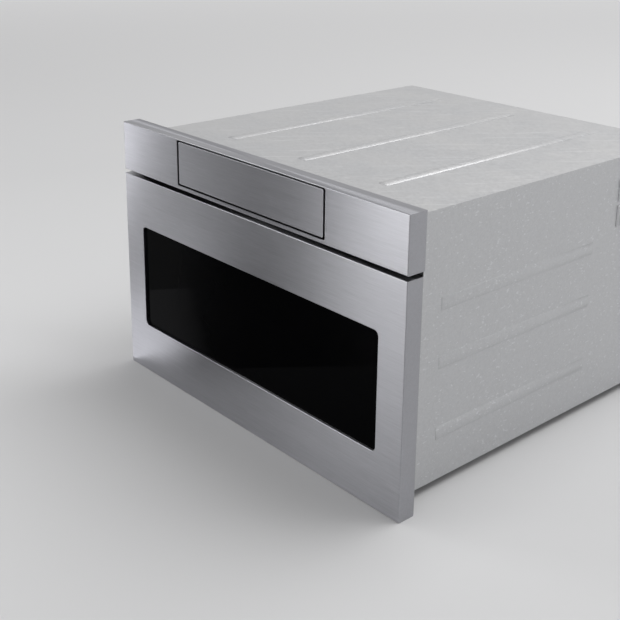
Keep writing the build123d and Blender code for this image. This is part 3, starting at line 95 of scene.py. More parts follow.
class Graph:
    """A node tree with short calls that add nodes and join them."""

    def __init__(self, tree: bpy.types.NodeTree) -> None:
        """Keep the tree that the calls work on."""
        self.tree = tree

    def put(self, socket: Socket, value: object) -> None:
        """Join another socket to an input, or set the input's own value.

        Args:
            socket: The input.
            value: An output socket, or a plain number, vector or opaque colour.
        """
        if isinstance(value, bpy.types.NodeSocket):
            self.tree.links.new(value, socket)
        elif socket.type == "RGBA":
            socket.default_value = (*value, 1.0)
        else:
            socket.default_value = value

    def call(self, kind: str, inputs: dict, out: int | str = 0, **settings: object) -> Socket:
        """Add a node and give one of its outputs.

        Args:
            kind: The node's class name.
            inputs: Input name or number to socket or value.
            out: The output that is wanted.
            settings: The node's own settings.

        Returns:
            The output socket.
        """
        node = self.tree.nodes.new(kind)
        for name, value in settings.items():
            setattr(node, name, value)
        for name, value in inputs.items():
            self.put(node.inputs[name], value)
        return node.outputs[out]

    def sum_up(self, operation: str, first: object, second: object) -> Socket:
        """Give the result of a Math node."""
        return self.call("ShaderNodeMath", {0: first, 1: second}, operation=operation)

    def stretch(self, vector: Socket, factors: object) -> Socket:
        """Give a vector times another, part by part."""
        return self.call("ShaderNodeVectorMath", {0: vector, 1: factors}, operation="MULTIPLY")

    def noise(self, vector: Socket, scale: object, detail: float = 2.0, rough: float = 0.5) -> Socket:
        """Give a noise texture's value."""
        inputs = {"Vector": vector, "Scale": scale, "Detail": detail, "Roughness": rough}
        return self.call("ShaderNodeTexNoise", inputs, "Fac")

    def cells(self, vector: Socket, scale: object, out: str = "Distance", feature: str = "F1") -> Socket:
        """Give a Voronoi texture's output."""
        return self.call("ShaderNodeTexVoronoi", {"Vector": vector, "Scale": scale}, out, feature=feature)

    def bands(self, vector: Socket, height: float, sway: float, along: str) -> Socket:
        """Give rounded bands of a height in metres along an axis."""
        inputs = {"Vector": vector, "Scale": WAVE_SCALE / height, "Distortion": sway}
        return self.call("ShaderNodeTexWave", inputs, "Fac", bands_direction=along)

    def span(self, value: Socket, low: object, high: object, start: float = 0.0, end: float = 1.0) -> Socket:
        """Map a value from start and end to low and high, clamped."""
        inputs = {"Value": value, "From Min": start, "From Max": end, "To Min": low, "To Max": high}
        return self.call("ShaderNodeMapRange", inputs)

    def tint(self, factor: object, first: object, second: object) -> Socket:
        """Mix two colours."""
        return self.call("ShaderNodeMix", {0: factor, 6: first, 7: second}, 2, data_type="RGBA")

    def fill(self, inputs: Sockets, **values: object) -> None:
        """Set or join a node's inputs, with _ for a space in their names."""
        for name, value in values.items():
            self.put(inputs[name.replace("_", " ")], value)


class Effect(Enum):
    """Surface effects that several finishes share."""

    GRAIN = "brushed_grain"
    CLOUD = "uneven_cloud"
    PEBBLE = "moulded_pebble"
    SPANGLE = "zinc_spangle"
    DUST = "settled_dust"
    SCUFF = "fine_scuffs"


@dataclass
class EffectShop:
    """Builds each shared effect once, as a shader node group."""

    made: dict[Effect, bpy.types.NodeTree] = field(default_factory=dict)

    def open_group(self, effect: Effect, outputs: list[str], **inputs: object) -> tuple[Graph, Sockets, Sockets]:
        """Start an effect's node group with its sockets.

        Args:
            effect: The effect.
            outputs: Names of the values that the group puts out.
            inputs: Name to usual value, a number or a vector, of the inputs after the place.

        Returns:
            The group's graph, the sockets that its inputs come from and those that its results go to.
        """
        tree = self.made[effect] = bpy.data.node_groups.new(effect.value, "ShaderNodeTree")
        for title, value in {"Vector": NOWHERE, **inputs}.items():
            kind = "NodeSocketVector" if isinstance(value, tuple) else "NodeSocketFloat"
            tree.interface.new_socket(name=title, in_out="INPUT", socket_type=kind).default_value = value
        for title in outputs:
            tree.interface.new_socket(name=title, in_out="OUTPUT", socket_type="NodeSocketFloat")
        start = tree.nodes.new("NodeGroupInput")
        return Graph(tree), start.outputs, tree.nodes.new("NodeGroupOutput").inputs

    def grain(self) -> None:
        """Long fine lines, as a brushing belt leaves them."""
        graph, taken, given = self.open_group(Effect.GRAIN, ["Shade", "Height"], Stretch=(9.0, 900.0, 900.0))
        lines = graph.stretch(taken["Vector"], taken["Stretch"])
        fine = graph.noise(lines, 1.0, 3.0, 0.65)
        broad = graph.noise(lines, 0.22, 2.0)
        both = graph.sum_up("ADD", graph.sum_up("MULTIPLY", fine, 0.75), graph.sum_up("MULTIPLY", broad, 0.25))
        graph.fill(given, Shade=graph.span(both, 0.0, 1.0, 0.3, 0.7), Height=fine)

    def cloud(self) -> None:
        """Broad soft patches, for the unevenness of any real surface."""
        graph, taken, given = self.open_group(Effect.CLOUD, ["Value"], Scale=9.0)
        patches = graph.noise(taken["Vector"], taken["Scale"], 4.0, 0.55)
        graph.fill(given, Value=graph.span(patches, 0.0, 1.0, 0.32, 0.68))

    def pebble(self) -> None:
        """The fine pebbled skin of moulded plastic and powder paint."""
        graph, taken, given = self.open_group(Effect.PEBBLE, ["Shade", "Height"], Scale=900.0)
        grains = graph.cells(taken["Vector"], taken["Scale"], feature="SMOOTH_F1")
        loose = graph.noise(taken["Vector"], graph.sum_up("MULTIPLY", taken["Scale"], 0.5), 2.0)
        height = graph.sum_up("ADD", grains, graph.sum_up("MULTIPLY", loose, 0.5))
        graph.fill(given, Shade=graph.span(height, 0.0, 1.0, 0.2, 1.1), Height=height)

    def spangle(self) -> None:
        """The crystal flowers of zinc on steel sheet."""
        graph, taken, given = self.open_group(Effect.SPANGLE, ["Shade", "Edge"], Scale=90.0)
        sway = graph.call("ShaderNodeTexNoise", {"Vector": taken["Vector"], "Scale": 60.0}, "Color")
        bent = graph.call("ShaderNodeVectorMath", {0: taken["Vector"], 1: graph.stretch(sway, (0.012,) * 3)})
        crystals = graph.cells(bent, taken["Scale"], "Color")
        edge = graph.cells(bent, taken["Scale"], feature="DISTANCE_TO_EDGE")
        graph.fill(given, Shade=graph.call("ShaderNodeSeparateColor", {0: crystals}), Edge=edge)

    def dust(self) -> None:
        """A faint veil on what faces up."""
        graph, taken, given = self.open_group(Effect.DUST, ["Mask"], Amount=0.3)
        normal = graph.call("ShaderNodeNewGeometry", {}, "Normal")
        up = graph.call("ShaderNodeSeparateXYZ", {0: normal}, "Z")
        patches = graph.span(graph.noise(taken["Vector"], 14.0, 6.0, 0.6), 0.25, 1.0, 0.35, 0.7)
        mask = graph.sum_up("MULTIPLY", graph.span(up, 0.0, 1.0, 0.3, 1.0), patches)
        graph.fill(given, Mask=graph.sum_up("MULTIPLY", mask, taken["Amount"]))

    def scuff(self) -> None:
        """Hair scratches that cross each other."""
        graph, taken, given = self.open_group(Effect.SCUFF, ["Mask"], Amount=0.5)
        marks = None
        for turn, reach in ((0.5, (260.0, 5.0, 260.0)), (-0.9, (5.0, 240.0, 240.0))):
            inputs = {"Vector": taken["Vector"], "Angle": turn}
            turned = graph.call("ShaderNodeVectorRotate", inputs, rotation_type="Z_AXIS")
            line = graph.span(graph.noise(graph.stretch(turned, reach), 1.0, 1.0), 0.0, 1.0, 0.68, 0.74)
            marks = line if marks is None else graph.sum_up("MAXIMUM", marks, line)
        graph.fill(given, Mask=graph.sum_up("MULTIPLY", marks, taken["Amount"]))

    def get(self, effect: Effect) -> bpy.types.NodeTree:
        """Give an effect's group, made once.

        Args:
            effect: The effect.

        Returns:
            The group.
        """
        makers = {
            Effect.GRAIN: self.grain,
            Effect.CLOUD: self.cloud,
            Effect.PEBBLE: self.pebble,
            Effect.SPANGLE: self.spangle,
            Effect.DUST: self.dust,
            Effect.SCUFF: self.scuff,
        }
        if effect not in self.made:
            makers[effect]()
        return self.made[effect]


# Finishes


@dataclass(frozen=True)
class Job:
    """A material while its finish is joined up.

    Attributes:
        graph: The material's graph.
        surface: The shader's inputs.
        place: The object's own coordinates.
        shop: Where the shared effects come from.
    """

    graph: Graph
    surface: Sockets
    place: Socket
    shop: EffectShop

    def effect(self, effect: Effect, out: str, **values: object) -> Socket:
        """Place a shared effect on the object's coordinates and give one of its outputs."""
        inputs = {"Vector": self.place, **values}
        return self.graph.call("ShaderNodeGroup", inputs, out, node_tree=self.shop.get(effect))

    def cloud(self, scale: float) -> Socket:
        """Give broad soft patches."""
        return self.effect(Effect.CLOUD, "Value", Scale=scale)

    def colour(self, value: Socket) -> None:
        """Set the base colour."""
        self.fill(Base_Color=value)

    def relief(self, height: Socket, strength: float, distance: float) -> None:
        """Bump the surface."""
        inputs = {"Height": height, "Strength": strength, "Distance": distance}
        self.fill(Normal=self.graph.call("ShaderNodeBump", inputs))

    def fill(self, **values: object) -> None:
        """Set or join the shader's inputs, with _ for a space in their names."""
        self.graph.fill(self.surface, **values)


def darker(colour: Colour, share: float) -> Colour:
    """Give a share of a colour."""
    return tuple(part * share for part in colour)


@dataclass(frozen=True)
class Finish:
    """A finish with a base colour, a second colour that it drifts to, and a range of roughness."""

    name: str
    colour: Colour
    drift: Colour
    roughness: Pair
    metallic: float = 0.0

    def make(self, shop: EffectShop) -> bpy.types.Material:
        """Build the material.

        Args:
            shop: Where the shared effects come from.

        Returns:
            The material.
        """
        material, graph, surface = new_material(self.name)
        surface["Metallic"].default_value = self.metallic
        self.wire(Job(graph, surface, graph.call("ShaderNodeTexCoord", {}, "Object"), shop))
        return material

    def wire(self, job: Job) -> None:
        """Join the finish's effects to its surface."""
        raise NotImplementedError

    def tone(self, job: Job, share: Socket) -> Socket:
        """Give the colour at a share of the way to the drift."""
        return job.graph.tint(share, self.colour, self.drift)

    def gloss(self, job: Job, share: Socket, more: Socket | None = None) -> None:
        """Set the roughness at a share of its range, plus some more."""
        rough = job.graph.span(share, *self.roughness)
        job.fill(Roughness=rough if more is None else job.graph.sum_up("ADD", rough, more))

    def drifting(self, job: Job, scale: float) -> Socket:
        """Let colour and gloss drift softly, and give the colour.

        Args:
            job: The material.
            scale: How fine the drift is.

        Returns:
            The colour.
        """
        cloud = job.cloud(scale)
        tone = self.tone(job, cloud)
        job.colour(tone)
        self.gloss(job, cloud)
        return tone


@dataclass(frozen=True)
class BrushedSteel(Finish):
    """Stainless sheet with a straight brushed grain."""

    stretch: Point = (26.0, 1100.0, 1100.0)
    lean: float = 0.25

    def wire(self, job: Job) -> None:
        """Lay the grain in the colour, the gloss and a fine bump.

        Args:
            job: The material.
        """
        graph = job.graph
        shade = job.effect(Effect.GRAIN, "Shade", Stretch=self.stretch)
        height = job.effect(Effect.GRAIN, "Height", Stretch=self.stretch)
        cloud = job.cloud(5.0)
        grain = self.tone(job, shade)
        job.colour(graph.tint(graph.sum_up("MULTIPLY", cloud, 0.3), grain, darker(self.colour, 0.96)))
        self.gloss(job, shade, graph.span(cloud, 0.0, 0.03))
        job.relief(height, 0.12, 0.00006)
        job.fill(Anisotropic=0.9, Anisotropic_Rotation=self.lean)


@dataclass(frozen=True)
class ZincSheet(Finish):
    """Zinc coated sheet with a faint spangle."""

    def wire(self, job: Job) -> None:
        """Vary colour and gloss from crystal to crystal, with dust on top and hair scratches.

        Args:
            job: The material.
        """
        graph = job.graph
        crystal = job.effect(Effect.SPANGLE, "Shade", Scale=420.0)
        dust = job.effect(Effect.DUST, "Mask", Amount=0.25)
        scuffs = job.effect(Effect.SCUFF, "Mask", Amount=0.4)
        sheet = self.tone(job, crystal)
        scratched = graph.tint(scuffs, sheet, (0.82, 0.83, 0.85))
        job.colour(graph.tint(dust, scratched, (0.5, 0.48, 0.45)))
        self.gloss(job, crystal, graph.sum_up("MULTIPLY", dust, 0.5))


@dataclass(frozen=True)
class Enamel(Finish):
    """Sprayed or fired paint with a slight orange peel."""

    peel: float = 260.0
    depth: float = 0.00008

    def wire(self, job: Job) -> None:
        """Drift the colour softly and ripple the surface.

        Args:
            job: The material.
        """
        graph = job.graph
        cloud = job.cloud(8.0)
        speck = job.effect(Effect.PEBBLE, "Shade", Scale=self.peel * 4)
        coat = self.tone(job, cloud)
        job.colour(graph.tint(graph.sum_up("MULTIPLY", speck, 0.3), coat, darker(self.colour, 0.86)))
        self.gloss(job, cloud)
        job.relief(job.effect(Effect.PEBBLE, "Height", Scale=self.peel), 0.2, self.depth)


@dataclass(frozen=True)
class Plastic(Finish):
    """Moulded plastic with a fine pebbled skin."""

    pebble: float = 1100.0

    def wire(self, job: Job) -> None:
        """Pebble the surface and lift the colour a little where it is high.

        Args:
            job: The material.
        """
        shade = job.effect(Effect.PEBBLE, "Shade", Scale=self.pebble)
        moulded = self.tone(job, shade)
        dust = job.effect(Effect.DUST, "Mask", Amount=0.1)
        job.colour(job.graph.tint(dust, moulded, (0.45, 0.44, 0.42)))
        self.gloss(job, job.cloud(20.0))
        job.relief(job.effect(Effect.PEBBLE, "Height", Scale=self.pebble), 0.25, 0.00005)


@dataclass(frozen=True)
class PlatedSteel(Finish):
    """Bright plated or turned metal with fine tool lines."""

    stretch: Point = (40.0, 700.0, 700.0)

    def wire(self, job: Job) -> None:
        """Vary gloss and colour along the tool lines.

        Args:
            job: The material.
        """
        shade = job.effect(Effect.GRAIN, "Shade", Stretch=self.stretch)
        job.colour(self.tone(job, shade))
        self.gloss(job, job.cloud(30.0))


@dataclass(frozen=True)
class BlackGlass(Finish):
    """Float glass printed black on its back, so nothing shows through."""

    level: float = 0.012

    def wire(self, job: Job) -> None:
        """Keep it near black with a barely uneven polish."""
        self.drifting(job, 6.0)
        job.fill(Specular_IOR_Level=self.level)


@dataclass(frozen=True)
class ClearGlass(Finish):
    """Clear or frosted glass."""

    def wire(self, job: Job) -> None:
        """Let light through, with a faint smear in the polish."""
        self.drifting(job, 25.0)
        job.fill(Transmission_Weight=1.0, IOR=1.5)


@dataclass(frozen=True)
class PerforatedSheet(Finish):
    """Black sheet with rows of small round holes."""

    pitch: float = 0.0026

    def wire(self, job: Job) -> None:
        """Draw the holes as dark dots in rows, each with a lit rim.

        Args:
            job: The material.
        """
        graph = job.graph
        rows = graph.stretch(job.place, (1 / self.pitch, 0.0, 1 / self.pitch))
        cell = graph.call("ShaderNodeVectorMath", {0: rows}, operation="FRACTION")
        inputs = {0: cell, 1: (0.5, 0.0, 0.5)}
        centre = graph.call("ShaderNodeVectorMath", inputs, "Value", operation="DISTANCE")
        # painted shade: each hole gets the darker drift colour, for the dark seen through it
        hole = graph.span(centre, 1.0, 0.0, 0.30, 0.36)
        job.colour(self.tone(job, hole))
        self.gloss(job, hole)
        job.relief(graph.span(centre, 0.0, 1.0, 0.28, 0.38), 0.6, 0.0004)


@dataclass(frozen=True)
class Windings(Finish):
    """Enamelled wire in close turns round an upright axis."""

    turn_height: float = 0.0011

    def wire(self, job: Job) -> None:
        """Round every turn and stain the varnish unevenly.

        Args:
            job: The material.
        """
        graph = job.graph
        waves = graph.bands(job.place, self.turn_height, 0.25, "Z")
        cloud = job.cloud(45.0)
        # painted shade and painted highlight: the dark drift colour between the turns, the bright colour along
        # each turn's crest
        wire = graph.tint(waves, self.drift, self.colour)
        job.colour(graph.tint(graph.sum_up("MULTIPLY", cloud, 0.4), wire, darker(self.colour, 0.6)))
        self.gloss(job, cloud)
        job.relief(waves, 0.8, 0.0005)


@dataclass(frozen=True)
class Laminations(Finish):
    """A stack of varnished sheet steel seen on edge."""

    sheet: float = 0.0011

    def wire(self, job: Job) -> None:
        """Line the stack sheet by sheet along Y.

        Args:
            job: The material.
        """
        graph = job.graph
        waves = graph.bands(job.place, self.sheet, 0.1, "Y")
        cloud = job.cloud(60.0)
        rust = graph.tint(graph.span(cloud, 0.0, 0.35), self.drift, (0.16, 0.09, 0.05))
        job.colour(graph.tint(waves, rust, self.colour))
        self.gloss(job, cloud)
        job.relief(waves, 0.5, 0.0003)


@dataclass(frozen=True)
class CircuitBoard(Finish):
    """Solder mask with tracks and pads, and the parts that stand on it.

    Attributes:
        top: Height of the board's upper side in metres. What is higher gets the parts' colour.
    """

    top: float = 1.0

    def wire(self, job: Job) -> None:
        """Draw tracks on the sheet and give the parts on it their own colour.

        Args:
            job: The material.
        """
        graph = job.graph
        level = graph.call("ShaderNodeSeparateXYZ", {0: job.place}, "Z")
        inputs = {"Vector": job.place, "Scale": 60.0, "Mortar Size": 0.05}
        grid = graph.call("ShaderNodeTexBrick", inputs, "Fac")
        tracks = graph.tint(grid, self.colour, (0.02, 0.33, 0.13))
        pads = graph.span(graph.cells(job.place, 260.0), 1.0, 0.0, 0.16, 0.2)
        board = graph.tint(pads, tracks, (0.55, 0.5, 0.38))
        part = graph.span(level, 0.0, 1.0, self.top + 0.0001, self.top + 0.0002)
        job.colour(graph.tint(part, board, self.drift))
        self.gloss(job, job.cloud(40.0))
        job.relief(grid, 0.3, 0.0001)


@dataclass(frozen=True)
class LitSign(Finish):
    """A printed or lit mark under the touch glass."""

    glow: float = 0.0

    def wire(self, job: Job) -> None:
        """Print it a little unevenly and let it glow."""
        job.fill(Emission_Color=self.drifting(job, 400.0), Emission_Strength=self.glow)


@dataclass(frozen=True)
class Mica(Finish):
    """Pressed mica: overlapping glittering flakes."""

    flakes: float = 240.0

    def wire(self, job: Job) -> None:
        """Give each flake its own tone and gloss.

        Args:
            job: The material.
        """
        flake = job.effect(Effect.SPANGLE, "Shade", Scale=self.flakes)
        job.colour(self.tone(job, flake))
        self.gloss(job, flake)
        job.relief(job.effect(Effect.SPANGLE, "Edge", Scale=self.flakes), 0.4, 0.0002)


class Coat(Enum):
    """The finishes of this object."""

    STEEL = BrushedSteel("brushed_steel", (0.352, 0.353, 0.374), (0.458, 0.460, 0.487), (0.29, 0.33), 1.0)
    GLASS = BlackGlass("black_glass", (0.0012, 0.0013, 0.0015), (0.002, 0.002, 0.0023), (0.03, 0.06))
    TOUCH = BlackGlass("touch_glass", (0.008, 0.008, 0.009), (0.012, 0.012, 0.013), (0.04, 0.09), 0.0, 0.5)
    CLEAR = ClearGlass("clear_glass", (0.9, 0.94, 0.93), (0.86, 0.92, 0.9), (0.01, 0.04))
    ZINC = ZincSheet("zinc_sheet", (0.545, 0.55, 0.56), (0.60, 0.605, 0.615), (0.36, 0.46), 0.85)
    ENAMEL = Enamel("grey_enamel", (0.36, 0.365, 0.37), (0.39, 0.395, 0.4), (0.28, 0.38))
    # SCREEN's drift colour is the painted shade in its holes
    SCREEN = PerforatedSheet("black_screen", (0.035, 0.035, 0.036), (0.002, 0.002, 0.002), (0.4, 0.9))
    BLACK = Plastic("black_plastic", (0.022, 0.022, 0.024), (0.034, 0.034, 0.037), (0.45, 0.6))
    NYLON = Plastic("white_plastic", (0.68, 0.67, 0.63), (0.76, 0.75, 0.71), (0.4, 0.5))
    DARK = Enamel("dark_metal", (0.03, 0.03, 0.032), (0.045, 0.045, 0.048), (0.4, 0.52))
    CORE = Laminations("lamination", (0.10, 0.10, 0.11), (0.03, 0.03, 0.032), (0.4, 0.6), 0.6)
    # COPPER's drift colour is the painted shade between the winding's turns
    COPPER = Windings("copper_winding", (0.60, 0.25, 0.08), (0.22, 0.07, 0.02), (0.22, 0.36), 0.7)
    PLATED = PlatedSteel("plain_steel", (0.62, 0.62, 0.63), (0.74, 0.74, 0.75), (0.2, 0.34), 1.0)
    ALUMINIUM = PlatedSteel("aluminium", (0.74, 0.75, 0.77), (0.84, 0.85, 0.86), (0.3, 0.45), 1.0)
    BOARD = CircuitBoard("circuit_board", SOLDER_MASK, (0.035, 0.035, 0.04), (0.25, 0.4), 0.0, 0.0744)
    KEYS = CircuitBoard("key_sheet", SOLDER_MASK, (0.05, 0.05, 0.055), (0.25, 0.4))
    MICA = Mica("mica", (0.42, 0.36, 0.26), (0.66, 0.6, 0.46), (0.2, 0.5))
    BULB = ClearGlass("lamp_glass", (0.95, 0.92, 0.84), (0.97, 0.95, 0.9), (0.25, 0.4))
    LEGEND = LitSign("key_legend", (0.72, 0.73, 0.74), (0.66, 0.67, 0.69), (0.35, 0.5))
    CLOCK = LitSign("clock_digits", (0.45, 0.80, 0.88), (0.36, 0.72, 0.82), (0.3, 0.4), 0.0, 0.9)
    ACETAL = Plastic("acetal", (0.78, 0.78, 0.74), (0.86, 0.86, 0.82), (0.32, 0.42), 0.0, 700.0)


@dataclass
class PaintShop:
    """Puts the finishes on, each as one material that is made once."""

    shop: EffectShop = field(default_factory=EffectShop)
    made: dict[Coat, bpy.types.Material] = field(default_factory=dict)

    def dress(self, thing: bpy.types.Object, coat: Coat) -> None:
        """Put a finish on all of an object.

        Args:
            thing: The object.
            coat: The finish.
        """
        if coat not in self.made:
            self.made[coat] = coat.value.make(self.shop)
        thing.data.materials.clear()
        thing.data.materials.append(self.made[coat])


# Modelling


@dataclass
class Workpiece:
    """A new piece while it is being shaped."""

    thing: bpy.types.Object

    @staticmethod
    def pick(*things: bpy.types.Object) -> None:
        """Select only these objects and make the last one active.

        Args:
            things: The objects.
        """
        bpy.ops.object.select_all(action="DESELECT")
        for thing in things:
            thing.select_set(True)
            bpy.context.view_layer.objects.active = thing

    @classmethod
    def started(cls, name: str) -> Self:
        """Take the primitive that was just added, with its size and place in its mesh.

        Args:
            name: The piece's name.

        Returns:
            The piece.
        """
        bpy.ops.object.transform_apply(location=True, rotation=True, scale=True)
        thing = bpy.context.active_object
        thing.name = thing.data.name = name
        return cls(thing)

    @classmethod
    def block(cls, name: str, low: Point, high: Point) -> Self:
        """Start from a block between two corners, in millimetres.

        Args:
            name: The piece's name.
            low: Its lowest corner.
            high: Its highest corner.

        Returns:
            The piece.
        """
        cls.pick()
        middle = [(a + b) / 2000 for a, b in zip(low, high)]
        size = [(b - a) / 1000 for a, b in zip(low, high)]
        bpy.ops.mesh.primitive_cube_add(size=1.0, location=middle, scale=size)
        return cls.started(name)

    @classmethod
    def disc(cls, name: str, centre: Point, radius: float, depth: float, axis: str, sides: int) -> Self:
        """Start from a bar about the X or Y axis, in millimetres.

        Args:
            name: The piece's name.
            centre: Its middle.
            radius: Its radius.
            depth: Its length.
            axis: X or Y.
            sides: How many sides it has.

        Returns:
            The piece.
        """
        cls.pick()
        turns = {"X": (0.0, math.pi / 2, 0.0), "Y": (math.pi / 2, 0.0, 0.0)}
        sizes = {"radius": radius / 1000, "depth": depth / 1000}
        bpy.ops.mesh.primitive_cylinder_add(vertices=sides, location=mm(*centre), rotation=turns[axis], **sizes)
        return cls.started(name)

    @classmethod
    def ring(cls, name: str, centre: Point, radius: float, wire: float) -> Self:
        """Start from a flattened ring about the Z axis, in millimetres.

        Args:
            name: The piece's name.
            centre: Its middle.
            radius: The ring's radius.
            wire: The wire's radius.

        Returns:
            The piece.
        """
        cls.pick()
        sides = {"major_segments": 40, "minor_segments": 8}
        sizes = {"major_radius": radius / 1000, "minor_radius": wire / 1000}
        bpy.ops.mesh.primitive_torus_add(location=mm(*centre), **sizes, **sides)
        bpy.context.active_object.scale.z = RING_FLATNESS
        return cls.started(name)

    @classmethod
    def digit(cls, name: str, text: str, centre: Point, height: float, sheet: float) -> Self:
        """Start from a digit or sign that lies flat on the XY plane, in millimetres.

        Args:
            name: The piece's name.
            text: What it says.
            centre: Its middle.
            height: A digit's height.
            sheet: Half its thickness.

        Returns:
            The piece.
        """
        cls.pick()
        bpy.ops.object.text_add(location=NOWHERE)
        letters = bpy.context.active_object.data
        letters.body = text
        letters.size = height * TYPE_SIZE / 1000
        letters.extrude = sheet / 1000
        letters.resolution_u = 3
        letters.align_x = letters.align_y = "CENTER"
        bpy.ops.object.convert(target="MESH")
        bpy.context.active_object.location = mm(*centre)
        piece = cls.started(name).merged(0.002)
        piece.edit(lambda place, normal: True)
        bpy.ops.mesh.normals_make_consistent(inside=False)
        return piece.close()

    def edit(self, test: FaceTest) -> None:
        """Open the mesh for editing with the faces that pass a test of place and normal selected.

        Args:
            test: The test.
        """
        self.pick(self.thing)
        bpy.ops.object.mode_set(mode="EDIT")
        bpy.ops.mesh.select_mode(type="FACE")
        bpy.ops.mesh.select_all(action="DESELECT")
        mesh = bmesh.from_edit_mesh(self.thing.data)
        for face in mesh.faces:
            face.select_set(test(face.calc_center_median() * 1000, face.normal))
        bmesh.update_edit_mesh(self.thing.data)

    def close(self) -> Self:
        """End editing."""
        bpy.ops.object.mode_set(mode="OBJECT")
        return self

    def inset(self, test: FaceTest, margin: float, depth: float = 0.0) -> Self:
        """Inset the picked faces by a margin and raise or sink them, in millimetres.

        Args:
            test: Picks the faces.
            margin: How far they shrink.
            depth: How far they rise.

        Returns:
            The piece.
        """
        self.edit(test)
        bpy.ops.mesh.inset(thickness=margin / 1000, depth=depth / 1000, use_boundary=True)
        return self.close()

    def merged(self, reach: float) -> Self:
        """Merge the points that lie closer than a reach, in millimetres.

        Args:
            reach: The reach.

        Returns:
            The piece.
        """
        self.edit(lambda place, normal: True)
        bpy.ops.mesh.remove_doubles(threshold=reach / 1000)
        return self.close()

    def apply(self, kind: str, **settings: object) -> Self:
        """Add a modifier and apply it.

        Args:
            kind: The modifier's kind.
            settings: Its settings.

        Returns:
            The piece.
        """
        self.pick(self.thing)
        modifier = self.thing.modifiers.new(kind.lower(), kind)
        for name, value in settings.items():
            setattr(modifier, name, value)
        bpy.ops.object.modifier_apply(modifier=modifier.name)
        return self

    def cut(self, tool: Self) -> Self:
        """Take another piece's shape out of this one.

        Args:
            tool: The other piece, which is used up.

        Returns:
            The piece.
        """
        self.apply("BOOLEAN", operation="DIFFERENCE", object=tool.thing, solver="EXACT")
        bpy.data.objects.remove(tool.thing, do_unlink=True)
        return self

    def rounded(self, width: float, segments: int) -> Self:
        """Round the sharp edges, in millimetres, and shade them smooth.

        Args:
            width: Width of the rounding.
            segments: Its number of steps.

        Returns:
            The piece.
        """
        sharp = {"limit_method": "ANGLE", "angle_limit": math.radians(35)}
        self.apply("BEVEL", width=width / 1000, segments=segments, **sharp).merged(0.001)
        bpy.ops.object.shade_smooth_by_angle(angle=math.radians(40))
        return self

    def moved(self, move: Point) -> Self:
        """Move the mesh, in millimetres."""
        self.thing.data.transform(Matrix.Translation(mm(*move)))
        return self

    def turned(self, angle: float, axis: str) -> Self:
        """Turn the mesh about an axis through the origin, by an angle in degrees."""
        self.thing.data.transform(Matrix.Rotation(math.radians(angle), 4, axis))
        return self

    def twin(self) -> Self:
        """Copy the piece with a mesh of its own.

        Returns:
            The copy.
        """
        copy = self.thing.copy()
        copy.data = self.thing.data.copy()
        bpy.context.scene.collection.objects.link(copy)
        return type(self)(copy)

    def repeated(self, moves: list[Point]) -> Self:
        """Join copies to the piece, each moved in millimetres. A move of nothing is the piece itself."""
        return self.joined([self.twin().moved(move) for move in moves if any(move)])

    def joined(self, others: list[Self]) -> Self:
        """Join other pieces to this one.

        Args:
            others: The other pieces.

        Returns:
            The piece.
        """
        self.pick(*(piece.thing for piece in others), self.thing)
        bpy.ops.object.join()
        return self


@dataclass
class SubAssembly:
    """A group of CAD nodes with their finishes, and the new pieces that go on them.

    Attributes:
        paint: Where the finishes' materials come from.
        coats: Finish to the names of the CAD nodes that have it.
    """

    paint: PaintShop
    coats: ClassVar[dict[Coat, tuple[str, ...]]] = {}

    def build(self) -> None:
        """Model the group's new pieces."""

    def dress(self) -> None:
        """Put its finish on each CAD node."""
        for coat, nodes in self.coats.items():
            for node in nodes:
                self.paint.dress(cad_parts[node], coat)
                log.info("%s: %s", node, coat.value.name)

    def add(self, piece: Workpiece, body: str, coat: Coat, slot: str = "") -> None:
        """Finish a new piece and let it ride on its body.

        Args:
            piece: The shaped piece.
            body: The body that carries it.
            coat: Its finish.
            slot: The record's material slot, where it isn't the finish's own name.
        """
        self.paint.dress(piece.thing, coat)
        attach(piece.thing, body)
        log.info("%s rides on %s", piece.thing.name, body)


@dataclass
class ControlStrip(SubAssembly):
    """The fixed stainless strip over the drawer and the moulding behind it."""

    coats = {Coat.STEEL: ("fascia_skin",), Coat.BLACK: ("fascia_frame",), Coat.PLATED: ("flap_motor",)}


